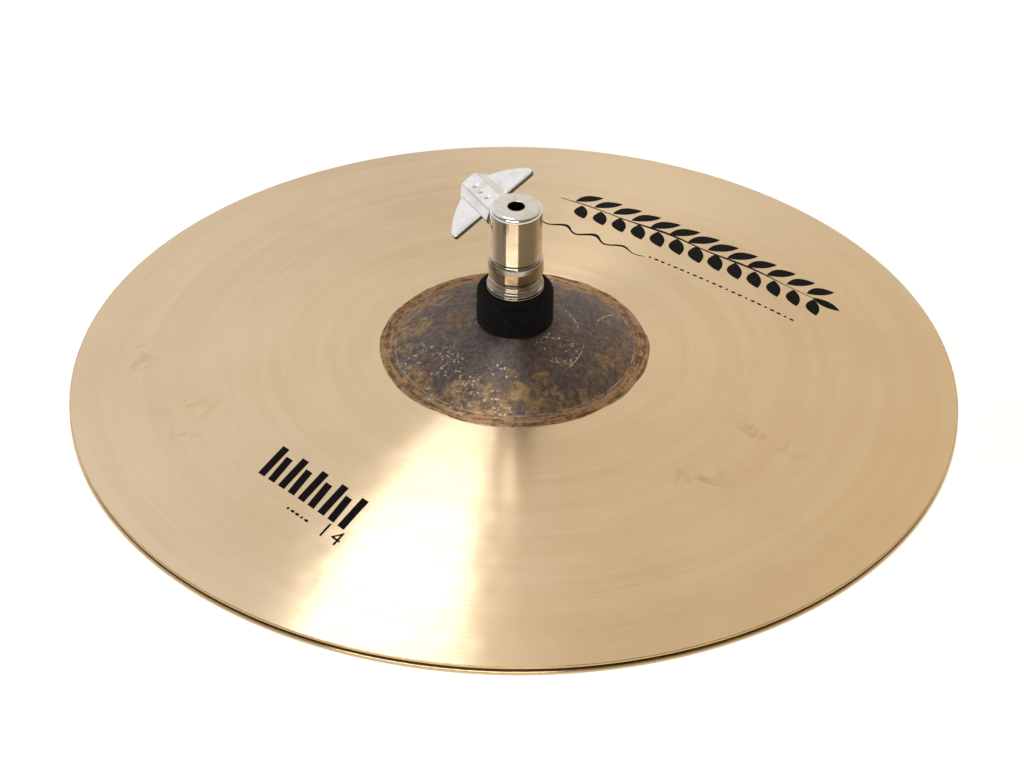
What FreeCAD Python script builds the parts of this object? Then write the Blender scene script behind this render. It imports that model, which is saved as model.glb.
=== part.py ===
"""Hi-hat: a pair of 14 inch cymbals, closed edge to edge, with the clutch that carries the top one.

Millimetres, +Z up. The origin is the centre of the bottom cymbal's hole at its lowest edge, which is
where a hi-hat stand's seat carries the pair. The clutch's bore and every nut share the Z axis. The wing
screw lies level and points out of the clutch head along WING_AZIMUTH.

Heights with names ending in _UP are measured up from RIM_TOP, the upper edge of the top cymbal's rim.
"""
import FreeCAD, Part
import math
import os

V = FreeCAD.Vector
UP = V(0, 0, 1)
ORIGIN = V(0, 0, 0)

# --- cymbals: the shape of the convex face, then the thickness of the bronze ---
RIM_R = 177.8            # 14 inch cymbal
HOLE_R = 6.25            # centre hole
BOW_IN_R = 50.9          # where the bow meets the bell's fillet
BOW_RISE = 20.9          # height of that line above the rim
BOW_IN_SLOPE = 3.5       # degrees, the bow's slope beside the bell
BELL_R = 82.6            # radius of curvature of the bell
BELL_FILLET_R = 11.0     # concave fillet between bell and bow
BELL_WALL = 1.5
TOP_RIM_WALL = 1.2
BOTTOM_RIM_WALL = 1.6
EDGE_ROUND = 0.3         # how far the rounded edge stands out past the two faces
RIM_GAP = 1.3            # hammered rims meet at a few points only, so they rest this far apart

# --- clutch: pull-rod bore, threaded tube and head ---
BORE_R = 3.4             # clears a 6 to 6.35 mm pull rod
TUBE_R = 5.0             # M10 x 1 thread, crest radius
TUBE_PITCH = 1.0
TUBE_THREAD_DEPTH = 0.55
TUBE_END_UP = 15.0
TUBE_TOP_UP = 73.0       # the tube is pressed this far up into the head
HEAD_R = 10.35
HEAD_BASE_UP = 66.1
HEAD_TOP_UP = 88.7
HEAD_ROUND = 1.8         # rounded upper edge
BORE_CHAMFER = 0.25

# --- nuts, washers, felts and the sleeve in the cymbal's hole ---
THREAD_CLEARANCE = 0.08  # radial clearance of a nut on the tube
WASHER_BORE_R = 5.3
FACE_GAP = 0.05          # between flat faces of pieces that move apart
LOCK_NUT_R = 11.1
LOCK_NUT_UP = (56.3, 65.8)
LOCK_NUT_BELT = (58.3, 62.4)     # its widest part, between the lower taper and the round shoulder
ADJUST_NUT_R = 11.4
ADJUST_NUT_UP = (51.65, 56.25)
ADJUST_NUT_HUB_R = 10.2
NUT_NECK_R = 9.6         # radius where the two nuts meet
WASHER_R = 11.4
WASHER_UP = (50.6, 51.6)
FELT_R = 15.3
UPPER_FELT_ROUNDS = (0.8, 2.2)   # radii of its lower and upper outer edges
LOWER_FELT_ROUND = 1.4
SOFT_GAP = 0.3           # a felt stays this far off the bronze that turns beside it
SLEEVE_BORE_R = 5.05
SLEEVE_R = 5.85
SLEEVE_UP = (27.6, 46.0)
LOWER_FELT_R = 13.5
LOWER_FELT_BORE_R = 6.15
LOWER_FELT_BASE_UP = 27.2
LOWER_WASHER_UP = (26.2, 27.2)
BOTTOM_NUT_UP = (16.2, 26.15)
BOTTOM_NUT_R = 10.5
BOTTOM_NUT_FLANGE_R = 12.5
BOTTOM_NUT_FLANGE = 2.6
KNURL_COUNT = 30
KNURL_CUT_R = 0.7
LOCK_RING_R = 7.4
LOCK_RING_HEIGHT = 2.4

# --- wing screw: distances along its own axis, from the clutch's axis ---
WING_AZIMUTH = 121.0     # degrees from +X
WING_TILT = 28.8         # degrees that the wing stands turned about its own axis
WING_AXIS_UP = 79.2
SLUG_HOLE_R = 2.3
SLUG_R = 2.24
SLUG_AT = (3.55, 7.25)
STUD_HOLE_R = 3.08
STUD_HOLE_FROM = 6.2
STUD_R = 3.0             # M6 x 1 thread
STUD_PITCH = 1.0
STUD_THREAD_DEPTH = 0.5
STUD_AT = (7.3, 27.0)
HUB_FROM = 12.0
HUB_END = 34.3
HUB_END_R = 12.0         # the hub's outer end is rounded in plan
HUB_TOP_HALF = 3.3       # half width of the hub's raised flat
HUB_FOOT_HALF = 6.9      # half width where its slopes meet the wing
HUB_HALF_THICK = 4.2
HUB_ROUND = 0.9
WING_HALF = 20.5         # half the span from tip to tip
WING_FROM = 16.4         # the straight edge facing the head
WING_TIP = 2.6           # length of the short edge at each tip
WING_BULGE = (12.8, 27.5)        # a point of the curved outer edge: along the span, and out from the head
WING_END = (3.4, 32.9)   # where that curve ends under the hub
WING_THICK = 2.6
WING_TIP_ROUND = 1.1
WING_ROUND = 0.8


def sin_deg(angle):
    return math.sin(math.radians(angle))


def cos_deg(angle):
    return math.cos(math.radians(angle))


class CymbalShape:
    """The convex face of a cymbal as three tangent arcs, with the rim's upper edge at height 0."""

    def __init__(self, rim_wall):
        self.rim_wall = rim_wall
        self.edge_r = RIM_R - EDGE_ROUND + 0.1
        chord = math.degrees(math.atan2(BOW_RISE, self.edge_r - BOW_IN_R))
        self.rim_slope = 2 * chord - BOW_IN_SLOPE
        self.bow_r = (self.edge_r - BOW_IN_R) / (sin_deg(self.rim_slope) - sin_deg(BOW_IN_SLOPE))
        self.bell_edge_r = (BOW_IN_R + BELL_FILLET_R * sin_deg(BOW_IN_SLOPE)) / (1 + BELL_FILLET_R / BELL_R)
        self.bell_slope = math.degrees(math.asin(self.bell_edge_r / BELL_R))
        fillet_drop = BELL_FILLET_R * (cos_deg(BOW_IN_SLOPE) - cos_deg(self.bell_slope))
        self.bell_edge_up = BOW_RISE + fillet_drop
        self.bell_centre_up = self.bell_edge_up - BELL_R * cos_deg(self.bell_slope)

    def crown_up(self, r, offset=0.0):
        """Height of the bell's face at radius r, or of the sphere that lies offset above it."""
        return self.bell_centre_up + math.sqrt((BELL_R + offset) ** 2 - r ** 2)

    def on_bow(self, slope):
        """Point of the bow where it falls at this slope, in degrees."""
        r = BOW_IN_R + self.bow_r * (sin_deg(slope) - sin_deg(BOW_IN_SLOPE))
        up = BOW_RISE - self.bow_r * (cos_deg(BOW_IN_SLOPE) - cos_deg(slope))
        return r, up

    def on_fillet(self, slope):
        r = BOW_IN_R - BELL_FILLET_R * (sin_deg(slope) - sin_deg(BOW_IN_SLOPE))
        up = BOW_RISE + BELL_FILLET_R * (cos_deg(BOW_IN_SLOPE) - cos_deg(slope))
        return r, up

    def under(self, point, slope, wall):
        """The point under a point of the convex face, through the wall."""
        return point[0] - wall * sin_deg(slope), point[1] - wall * cos_deg(slope)

    def face(self):
        mid_bow = (BOW_IN_SLOPE + self.rim_slope) / 2
        mid_fillet = (BOW_IN_SLOPE + self.bell_slope) / 2
        mid_wall = (BELL_WALL + self.rim_wall) / 2
        mid_bell_r = self.bell_edge_r / 2
        inner_r = BELL_R - BELL_WALL
        rim, bow, bow_in = (self.on_bow(s) for s in (self.rim_slope, mid_bow, BOW_IN_SLOPE))
        fillet, bell_edge = (self.on_fillet(s) for s in (mid_fillet, self.bell_slope))
        edge_mid = self.under(rim, self.rim_slope, self.rim_wall / 2)
        edge_out = (edge_mid[0] + EDGE_ROUND * cos_deg(self.rim_slope),
                    edge_mid[1] - EDGE_ROUND * sin_deg(self.rim_slope))
        under_bell_r = inner_r * sin_deg(self.bell_slope)
        outline = Outline(HOLE_R, self.crown_up(HOLE_R))
        outline.arc((mid_bell_r, self.crown_up(mid_bell_r)), bell_edge)
        outline.arc(fillet, bow_in)
        outline.arc(bow, rim)
        outline.arc(edge_out, self.under(rim, self.rim_slope, self.rim_wall))
        outline.arc(self.under(bow, mid_bow, mid_wall), self.under(bow_in, BOW_IN_SLOPE, BELL_WALL))
        outline.arc(self.under(fillet, mid_fillet, BELL_WALL),
                    self.under(bell_edge, self.bell_slope, BELL_WALL))
        outline.arc((under_bell_r / 2, self.crown_up(under_bell_r / 2, -BELL_WALL)),
                    (HOLE_R, self.crown_up(HOLE_R, -BELL_WALL)))
        return outline.face()

    def rim_depth(self):
        """How far the rim's lower edge lies below its upper edge."""
        return self.rim_wall * cos_deg(self.rim_slope)


class Outline:
    """A closed outline in the (radius, height) half plane, for turning about the Z axis."""

    def __init__(self, r, z):
        self.start = self.here = V(r, 0, z)
        self.edges = []

    def line(self, *points):
        for r, z in points:
            there = V(r, 0, z)
            self.edges.append(Part.LineSegment(self.here, there).toShape())
            self.here = there
        return self

    def arc(self, through, end):
        there = V(end[0], 0, end[1])
        self.edges.append(Part.Arc(self.here, V(through[0], 0, through[1]), there).toShape())
        self.here = there
        return self

    def round_to(self, r, z):
        """Quarter circle that bulges towards the outer corner of here and (r, z)."""
        dr, dz = r - self.here.x, z - self.here.z
        outwards = max(self.here.x, r)
        corner_z = z if outwards == self.here.x else self.here.z
        inset = 1 - math.sqrt(0.5)
        through_z = corner_z + math.copysign(inset * abs(dz), self.here.z + z - 2 * corner_z)
        return self.arc((outwards - inset * abs(dr), through_z), (r, z))

    def face(self):
        if self.here.distanceToPoint(self.start) > 1e-7:
            self.line((self.start.x, self.start.z))
        return Part.Face(Part.Wire(self.edges))

    def turned(self):
        return self.face().revolve(ORIGIN, UP, 360)


TOP = CymbalShape(TOP_RIM_WALL)
BOTTOM = CymbalShape(BOTTOM_RIM_WALL)
BOTTOM_RIM_UP = BOTTOM.crown_up(HOLE_R)      # the bottom cymbal's convex-side rim edge, above the origin
RIM_TOP = BOTTOM_RIM_UP + BOTTOM.rim_depth() + RIM_GAP + TOP.rim_depth()
WING_OUT = V(cos_deg(WING_AZIMUTH), sin_deg(WING_AZIMUTH), 0)


def above_rim(shape):
    """Moves a shape modelled up from the top cymbal's rim to its place above the origin."""
    shape.translate(UP * RIM_TOP)
    return shape


def onto_wing_axis(shape):
    """Takes a shape modelled along +Z from the clutch's axis, wing flat in XZ, to the wing screw's place."""
    shape.rotate(ORIGIN, UP, 90 - WING_TILT)
    shape.rotate(ORIGIN, V(0, 1, 0), 90)
    shape.rotate(ORIGIN, UP, WING_AZIMUTH)
    shape.translate(UP * WING_AXIS_UP)
    return above_rim(shape)


def ring(inner_r, outer_r, low, high):
    return Outline(inner_r, low).line((outer_r, low), (outer_r, high), (inner_r, high)).turned()


def threaded(r, depth, pitch, low, high, bore_r=None):
    """A rod or tube from low to high with V grooves at the thread's pitch in place of a helix."""
    inner = bore_r or 0.0
    outline = Outline(inner, low)
    outline.line((r - depth, low), (r, low + depth))
    grooves = int((high - low - 2 * depth) / pitch)
    for step in range(grooves):
        top = low + depth + step * pitch
        outline.line((r, top + 0.2 * pitch), (r - depth, top + 0.6 * pitch), (r, top + pitch))
    outline.line((r, high), (inner, high))
    return outline.turned()


def top_cymbal():
    return above_rim(TOP.face().revolve(ORIGIN, UP, 360))


def bottom_cymbal():
    shape = BOTTOM.face().revolve(ORIGIN, UP, 360)
    shape.rotate(ORIGIN, V(1, 0, 0), 180)
    shape.translate(UP * BOTTOM_RIM_UP)
    return shape


def clutch_head():
    outline = Outline(TUBE_R, HEAD_BASE_UP)
    outline.line((HEAD_R - 0.5, HEAD_BASE_UP), (HEAD_R, HEAD_BASE_UP + 0.5))
    outline.line((HEAD_R, HEAD_TOP_UP - HEAD_ROUND))
    outline.round_to(HEAD_R - HEAD_ROUND, HEAD_TOP_UP)
    outline.line((BORE_R + BORE_CHAMFER, HEAD_TOP_UP), (BORE_R, HEAD_TOP_UP - BORE_CHAMFER))
    outline.line((BORE_R, TUBE_TOP_UP), (TUBE_R, TUBE_TOP_UP))
    head = above_rim(outline.turned())
    slug_hole = onto_wing_axis(Part.makeCylinder(SLUG_HOLE_R, HEAD_R + 1))
    stud_hole = onto_wing_axis(Part.makeCylinder(STUD_HOLE_R, HEAD_R, V(0, 0, STUD_HOLE_FROM)))
    bore = above_rim(Part.makeCylinder(BORE_R, HEAD_TOP_UP, ORIGIN))
    return head.cut(slug_hole.cut(bore)).cut(stud_hole)


def clutch_tube():
    """Threaded below the head, plain where it is pressed into it."""
    thread = threaded(TUBE_R, TUBE_THREAD_DEPTH, TUBE_PITCH, TUBE_END_UP, HEAD_BASE_UP, BORE_R)
    plain = ring(BORE_R, TUBE_R, HEAD_BASE_UP, TUBE_TOP_UP)
    return above_rim(thread.fuse(plain).removeSplitter())


def hole_sleeve():
    return above_rim(ring(SLEEVE_BORE_R, SLEEVE_R, *SLEEVE_UP))


def lock_nut():
    low, high = LOCK_NUT_UP
    belt_low, belt_high = LOCK_NUT_BELT
    bore = TUBE_R + THREAD_CLEARANCE
    outline = Outline(bore, low)
    outline.line((NUT_NECK_R, low), (LOCK_NUT_R, belt_low), (LOCK_NUT_R, belt_high))
    outline.arc((LOCK_NUT_R - 0.28, high - 1.2), (LOCK_NUT_R - 0.95, high))
    return above_rim(outline.line((bore, high)).turned())


def adjusting_nut():
    low, high = ADJUST_NUT_UP
    bore = TUBE_R + THREAD_CLEARANCE
    outline = Outline(bore, low)
    outline.line((ADJUST_NUT_R, low), (ADJUST_NUT_R, low + 0.9))
    outline.arc((ADJUST_NUT_R - 0.35, low + 1.9), (ADJUST_NUT_HUB_R, low + 2.7))
    outline.line((ADJUST_NUT_HUB_R, high - 0.6), (NUT_NECK_R, high), (bore, high))
    return above_rim(outline.turned())


def upper_washer():
    return above_rim(ring(WASHER_BORE_R, WASHER_R, *WASHER_UP))


def upper_felt():
    """Its underside follows the bell; its outer edges are rounded."""
    high = WASHER_UP[0] - FACE_GAP
    low_round, high_round = UPPER_FELT_ROUNDS
    low_edge = TOP.crown_up(FELT_R - low_round, SOFT_GAP)
    mid = (FELT_R + SLEEVE_R) / 2
    outline = Outline(SLEEVE_R, high)
    outline.line((FELT_R - high_round, high)).round_to(FELT_R, high - high_round)
    outline.line((FELT_R, low_edge + low_round)).round_to(FELT_R - low_round, low_edge)
    outline.arc((mid, TOP.crown_up(mid, SOFT_GAP)), (SLEEVE_R, TOP.crown_up(SLEEVE_R, SOFT_GAP)))
    return above_rim(outline.turned())


def lower_felt():
    """Its top follows the inside of the bell."""
    offset = -BELL_WALL - SOFT_GAP
    low = LOWER_FELT_BASE_UP + FACE_GAP
    edge = LOWER_FELT_R - LOWER_FELT_ROUND
    high = TOP.crown_up(edge, offset)
    mid = (edge + LOWER_FELT_BORE_R) / 2
    outline = Outline(LOWER_FELT_BORE_R, low)
    outline.line((edge, low)).round_to(LOWER_FELT_R, low + LOWER_FELT_ROUND)
    outline.line((LOWER_FELT_R, high - LOWER_FELT_ROUND)).round_to(edge, high)
    outline.arc((mid, TOP.crown_up(mid, offset)), (LOWER_FELT_BORE_R, TOP.crown_up(LOWER_FELT_BORE_R, offset)))
    return above_rim(outline.turned())


def lower_washer():
    return above_rim(ring(WASHER_BORE_R, BOTTOM_NUT_FLANGE_R, *LOWER_WASHER_UP))


def bottom_nut():
    """Flanged at the top, knurled below, with a counterbore for the locking ring at its lower end."""
    low, high = BOTTOM_NUT_UP
    bore = TUBE_R + THREAD_CLEARANCE
    flange_low = high - BOTTOM_NUT_FLANGE
    outline = Outline(LOCK_RING_R, low)
    outline.line((BOTTOM_NUT_R - 0.6, low), (BOTTOM_NUT_R, low + 0.6), (BOTTOM_NUT_R, flange_low - 0.8))
    outline.arc((BOTTOM_NUT_R + 0.23, flange_low - 0.23), (BOTTOM_NUT_R + 0.8, flange_low))
    outline.line((BOTTOM_NUT_FLANGE_R, flange_low), (BOTTOM_NUT_FLANGE_R, high - 0.4))
    outline.line((BOTTOM_NUT_FLANGE_R - 0.4, high), (bore, high), (bore, low + LOCK_RING_HEIGHT))
    outline.line((LOCK_RING_R, low + LOCK_RING_HEIGHT))
    nut = outline.turned()
    groove = Part.makeCylinder(KNURL_CUT_R, flange_low - low - 1.4, V(BOTTOM_NUT_R + 0.25, 0, low))
    grooves = []
    for step in range(KNURL_COUNT):
        cut = groove.copy()
        cut.rotate(ORIGIN, UP, step * 360 / KNURL_COUNT)
        grooves.append(cut)
    return above_rim(nut.cut(Part.makeCompound(grooves)))


def lock_ring():
    """Nylon ring pressed into the bottom nut; it grips the thread."""
    low = BOTTOM_NUT_UP[0]
    return above_rim(ring(TUBE_R + THREAD_CLEARANCE, LOCK_RING_R, low, low + LOCK_RING_HEIGHT))


def clamp_slug():
    """Loose slug between the wing screw's point and the pull rod."""
    low, high = SLUG_AT
    outline = Outline(0, low)
    outline.line((SLUG_R - 0.5, low), (SLUG_R, low + 0.5), (SLUG_R, high), (0, high))
    return onto_wing_axis(outline.turned())


def wing_stud():
    """Threaded between the head and the hub, plain where the hub is cast round it."""
    low, high = STUD_AT
    thread = threaded(STUD_R, STUD_THREAD_DEPTH, STUD_PITCH, low, HUB_FROM)
    plain = Part.makeCylinder(STUD_R, high - HUB_FROM, V(0, 0, HUB_FROM))
    return onto_wing_axis(thread.fuse(plain).removeSplitter())


def wing_plate():
    """The flat wing: a straight edge towards the head, a short edge at each tip and a curved outer edge."""
    tip_at = WING_FROM + WING_TIP
    left, right = V(-WING_HALF, 0, WING_FROM), V(WING_HALF, 0, WING_FROM)
    left_tip, right_tip = V(-WING_HALF, 0, tip_at), V(WING_HALF, 0, tip_at)
    left_end, right_end = V(-WING_END[0], 0, WING_END[1]), V(WING_END[0], 0, WING_END[1])
    edges = [
        Part.LineSegment(left, right).toShape(),
        Part.LineSegment(right, right_tip).toShape(),
        Part.Arc(right_tip, V(WING_BULGE[0], 0, WING_BULGE[1]), right_end).toShape(),
        Part.LineSegment(right_end, left_end).toShape(),
        Part.Arc(left_end, V(-WING_BULGE[0], 0, WING_BULGE[1]), left_tip).toShape(),
        Part.LineSegment(left_tip, left).toShape(),
    ]
    plate = Part.Face(Part.Wire(edges)).extrude(V(0, WING_THICK, 0))
    plate.translate(V(0, -WING_THICK / 2, 0))
    corners = [e for e in plate.Edges if abs(e.CenterOfMass.y) < 1e-6 and abs(e.CenterOfMass.x) > WING_HALF - 0.1]
    plate = plate.makeFillet(WING_TIP_ROUND, corners)
    rims = [e for e in plate.Edges if abs(abs(e.CenterOfMass.y) - WING_THICK / 2) < 1e-6]
    return plate.makeFillet(WING_ROUND, rims)


def hub():
    """The raised block down the middle of the wing, with sloping sides and a rounded outer end."""
    top, foot = HUB_HALF_THICK, WING_THICK / 2 - 0.2
    corners = [(HUB_TOP_HALF, top), (HUB_FOOT_HALF, foot), (HUB_FOOT_HALF, -foot), (HUB_TOP_HALF, -top)]
    corners += [(-x, y) for x, y in reversed(corners)]
    points = [V(x, y, HUB_FROM) for x, y in corners]
    block = Part.Face(Part.makePolygon(points + points[:1])).extrude(UP * WING_HALF * 2)
    block = block.makeFillet(HUB_ROUND, [e for e in block.Edges if abs(abs(e.CenterOfMass.y) - top) < 1e-6
                                         and abs(e.CenterOfMass.z - HUB_FROM - WING_HALF) < 1e-6])
    end = HUB_END - HUB_END_R
    drum = Part.makeCylinder(HUB_END_R, 4 * top, V(0, -2 * top, end), V(0, 1, 0))
    body = Part.makeBox(4 * top, 4 * top, end - HUB_FROM, V(-2 * top, -2 * top, HUB_FROM))
    return block.common(drum.fuse(body)).removeSplitter()


def wing_handle():
    handle = wing_plate().fuse(hub()).removeSplitter()
    socket = Part.makeCylinder(STUD_R, STUD_AT[1] - HUB_FROM + 1, V(0, 0, HUB_FROM - 1))
    return onto_wing_axis(handle.cut(socket))


PIECES = (
    top_cymbal, bottom_cymbal, clutch_head, clutch_tube, hole_sleeve, lock_nut, adjusting_nut, upper_washer,
    upper_felt, lower_felt, lower_washer, bottom_nut, lock_ring, clamp_slug, wing_stud, wing_handle,
)


def main():
    os.makedirs("parts", exist_ok=True)
    for piece in PIECES:
        shape = piece()
        shape.exportStep(os.path.join("parts", piece.__name__ + ".step"))
        box = shape.BoundBox
        print(f"{piece.__name__:15s} valid {shape.isValid()} solids {len(shape.Solids)} "
              f"volume {shape.Volume:9.1f} z {box.ZMin:7.2f} to {box.ZMax:7.2f}")
    print(f"rim top {RIM_TOP:.3f} wing axis {RIM_TOP + WING_AXIS_UP:.3f} out {WING_OUT.x:.5f} {WING_OUT.y:.5f}")


main()
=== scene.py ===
"""Looks of a closed pair of hi-hat cymbals with its clutch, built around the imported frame.

Metres, +Z up along the pull rod's bore. The origin is the centre of the bottom cymbal's hole at its
lowest edge. Sizes in the classes below are in millimetres, as a maker would write them, and every piece
takes its place from the frame's own boxes.
"""

import logging
import math
import random
from dataclasses import dataclass, field
from enum import Enum
from typing import Callable, Optional, Sequence

import bmesh
import bpy
import numpy as np
from mathutils import Matrix, Vector


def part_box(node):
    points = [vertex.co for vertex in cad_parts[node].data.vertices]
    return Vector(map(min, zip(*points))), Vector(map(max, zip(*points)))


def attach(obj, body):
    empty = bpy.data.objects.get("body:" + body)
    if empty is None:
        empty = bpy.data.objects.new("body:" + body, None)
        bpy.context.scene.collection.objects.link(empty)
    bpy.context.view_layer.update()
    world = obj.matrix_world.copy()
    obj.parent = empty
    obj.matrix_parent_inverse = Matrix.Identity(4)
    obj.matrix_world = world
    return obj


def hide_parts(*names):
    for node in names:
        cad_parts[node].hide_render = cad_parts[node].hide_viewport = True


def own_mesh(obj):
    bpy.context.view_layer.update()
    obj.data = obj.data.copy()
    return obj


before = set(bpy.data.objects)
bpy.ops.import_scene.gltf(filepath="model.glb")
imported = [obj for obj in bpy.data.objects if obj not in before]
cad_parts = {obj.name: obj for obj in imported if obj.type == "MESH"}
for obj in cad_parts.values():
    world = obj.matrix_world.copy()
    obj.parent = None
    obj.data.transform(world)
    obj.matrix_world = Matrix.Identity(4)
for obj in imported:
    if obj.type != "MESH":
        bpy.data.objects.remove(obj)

LOG = logging.getLogger("hi_hat")
MM = 0.001
BELL_EDGE_R = 53.6
SCRIBE_R = 47.6
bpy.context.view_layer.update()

Outline = list[tuple[float, float]]
Loop = list[tuple[float, float]]
Relief = Callable[[np.ndarray, np.ndarray, np.ndarray], tuple[np.ndarray, np.ndarray]]
Socket = bpy.types.NodeSocket
Colour = tuple[float, float, float]
Lines = Callable[[float, float], Socket]
Baseline = tuple[tuple[float, float], tuple[float, float]]


class Slot(Enum):
    """The record's material slots."""

    BRONZE = "lathed_bronze"
    PLATING = "polished_plating"
    CASTING = "cast_plating"
    STEEL = "threaded_steel"
    FELT = "black_felt"
    NYLON = "white_nylon"
    INK = "black_ink"


class Facing(Enum):
    """Which way a cymbal's bell points."""

    UP = 1
    DOWN = -1


# --- measuring and shaping --------------------------------------------------------------------------


def span(node: str) -> tuple[float, float]:
    """Heights of a frame node's lowest and highest points.

    Args:
        node: Name of the node.

    Returns:
        Its low and high Z, in millimetres.
    """
    low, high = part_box(node)
    return low[2] / MM, high[2] / MM


def enter(piece: bpy.types.Object, body: str, slot: Slot, *nodes: str) -> bpy.types.Object:
    """Hands a finished piece to the frame.

    Args:
        piece: The piece.
        body: The body it rides on.
        slot: The record's slot its finish belongs to; not used.
        nodes: Frame nodes it stands for.

    Returns:
        The same piece.
    """
    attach(piece, body)
    if nodes:
        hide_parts(*nodes)
    LOG.info("%-18s rides %-14s %6d faces", piece.name, body, len(piece.data.polygons))
    return piece


def dress_node(node: str, material: bpy.types.Material) -> None:
    """Gives a frame node that stays on show its finish.

    Args:
        node: Name of the node.
        material: The finish.
    """
    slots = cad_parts[node].material_slots
    for slot in slots:
        slot.material = material
    LOG.info("%-18s stays, in %s", node, material.name)


def rounded(corners: Sequence[tuple[float, float, float]], steps: int = 5) -> Outline:
    """Rounds the corners of a closed outline and keeps its straight runs straight.

    Args:
        corners: Points as (radius, height, rounding), in order.
        steps: Chords in each rounding.

    Returns:
        The outline, with a point close to each end of every straight run.
    """
    outline: Outline = []
    for index, (r, z, rounding) in enumerate(corners):
        here = np.array((r, z))
        back = np.array(corners[index - 1][:2]) - here
        ahead = np.array(corners[(index + 1) % len(corners)][:2]) - here
        back_run, ahead_run = np.hypot(*back), np.hypot(*ahead)
        back, ahead = back / back_run, ahead / ahead_run
        half = math.acos(float(np.clip(back @ ahead, -1.0, 1.0))) / 2
        if rounding <= 0 or half > math.radians(89):
            outline.append((r, z))
            continue
        reach = min(rounding / math.tan(half), 0.48 * back_run, 0.48 * ahead_run)
        radius = reach * math.tan(half)
        middle = (back + ahead) / np.hypot(*(back + ahead))
        centre = here + middle * radius / math.sin(half)
        first, last = here + back * reach, here + ahead * reach
        start = math.atan2(*(first - centre)[::-1])
        sweep = (math.atan2(*(last - centre)[::-1]) - start + math.pi) % (2 * math.pi) - math.pi
        outline.append(tuple(first + back * min(0.12, 0.3 * (back_run - reach))))
        for step in range(steps + 1):
            turn = start + sweep * step / steps
            outline.append((centre[0] + radius * math.cos(turn), centre[1] + radius * math.sin(turn)))
        outline.append(tuple(last + ahead * min(0.12, 0.3 * (ahead_run - reach))))
    return outline


def shade(piece: bpy.types.Object, crease: float = 38.0) -> bpy.types.Object:
    """Smooths a mesh's shading up to a crease angle.

    Args:
        piece: The mesh object.
        crease: Angle in degrees above which an edge stays sharp.

    Returns:
        The same object.
    """
    piece.data.shade_smooth()
    piece.data.set_sharp_from_angle(angle=math.radians(crease))
    return piece


def new_piece(name: str, mesh: bpy.types.Mesh) -> bpy.types.Object:
    """Puts a mesh in the scene.

    Args:
        name: Name of the piece.
        mesh: Its mesh.

    Returns:
        The new object.
    """
    piece = bpy.data.objects.new(name, mesh)
    bpy.context.scene.collection.objects.link(piece)
    return piece


def lathe(name: str, outline: Outline, spokes: int, relief: Optional[Relief] = None) -> bpy.types.Object:
    """Turns a closed outline about the Z axis.

    Args:
        name: Name of the piece.
        outline: Points as (radius, height), in millimetres.
        spokes: Steps round the axis.
        relief: Takes arrays of radius, height and angle, and returns new radii and heights.

    Returns:
        The turned piece.
    """
    points = np.array(outline)
    ahead = np.roll(points, -1, axis=0)
    area = float(np.sum(points[:, 0] * ahead[:, 1] - ahead[:, 0] * points[:, 1]))
    if area < 0:
        points = points[::-1]
    angle = np.linspace(0, 2 * math.pi, spokes, endpoint=False)
    radii, angles = np.meshgrid(points[:, 0], angle, indexing="ij")
    heights = np.repeat(points[:, 1:2], spokes, axis=1)
    if relief:
        radii, heights = relief(radii, heights, angles)
    grid = np.stack([radii * np.cos(angles), radii * np.sin(angles), heights], axis=-1)
    rings = len(points)
    ring, spoke = np.meshgrid(np.arange(rings), np.arange(spokes), indexing="ij")
    over, round_ = (ring + 1) % rings, (spoke + 1) % spokes
    faces = np.stack([ring * spokes + spoke, ring * spokes + round_, over * spokes + round_,
                      over * spokes + spoke], axis=-1).reshape(-1, 4)
    mesh = bpy.data.meshes.new(name)
    mesh.from_pydata((grid.reshape(-1, 3) * MM).tolist(), [], faces.tolist())
    if points[:, 0].min() < 1e-6:
        weld(mesh, 1e-8)
    return shade(new_piece(name, mesh))


def weld(mesh: bpy.types.Mesh, distance: float) -> None:
    """Joins a mesh's coinciding points and turns its faces outwards.

    Args:
        mesh: The mesh.
        distance: How near two points are joined, in metres.
    """
    work = bmesh.new()
    work.from_mesh(mesh)
    bmesh.ops.remove_doubles(work, verts=work.verts, dist=distance)
    bmesh.ops.recalc_face_normals(work, faces=work.faces)
    work.to_mesh(mesh)
    work.free()


def helix(crest: float, depth: float, pitch: float, low: float, high: float) -> Relief:
    """A right-handed V thread cut into an outer wall, running out at both ends.

    Args:
        crest: Radius of the thread's crests, in millimetres.
        depth: Depth of its grooves.
        pitch: Its pitch.
        low: Height where it starts.
        high: Height where it ends.

    Returns:
        The relief that cuts it.
    """

    def cut(radii: np.ndarray, heights: np.ndarray, angles: np.ndarray) -> tuple[np.ndarray, np.ndarray]:
        """Lowers the wall along the helix.

        Args:
            radii: The points' radii.
            heights: Their heights.
            angles: Their angles.

        Returns:
            The new radii, and the same heights.
        """
        phase = (heights / pitch - angles / (2 * math.pi)) % 1.0
        groove = np.clip(1.25 - 2.5 * np.abs(phase - 0.5), 0, 1)
        fade = np.clip(np.minimum(heights - low, high - heights) / (0.8 * pitch), 0, 1)
        wall = radii > crest - 0.02
        return radii - np.where(wall, depth * (1 - groove) * fade, 0), heights

    return cut


def apply_modifiers(piece: bpy.types.Object) -> None:
    """Replaces a piece's mesh with the one its modifiers give.

    Args:
        piece: The piece.
    """
    graph = bpy.context.evaluated_depsgraph_get()
    mesh = bpy.data.meshes.new_from_object(piece.evaluated_get(graph))
    piece.modifiers.clear()
    piece.data = mesh


# --- finishes ---------------------------------------------------------------------------------------


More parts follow.
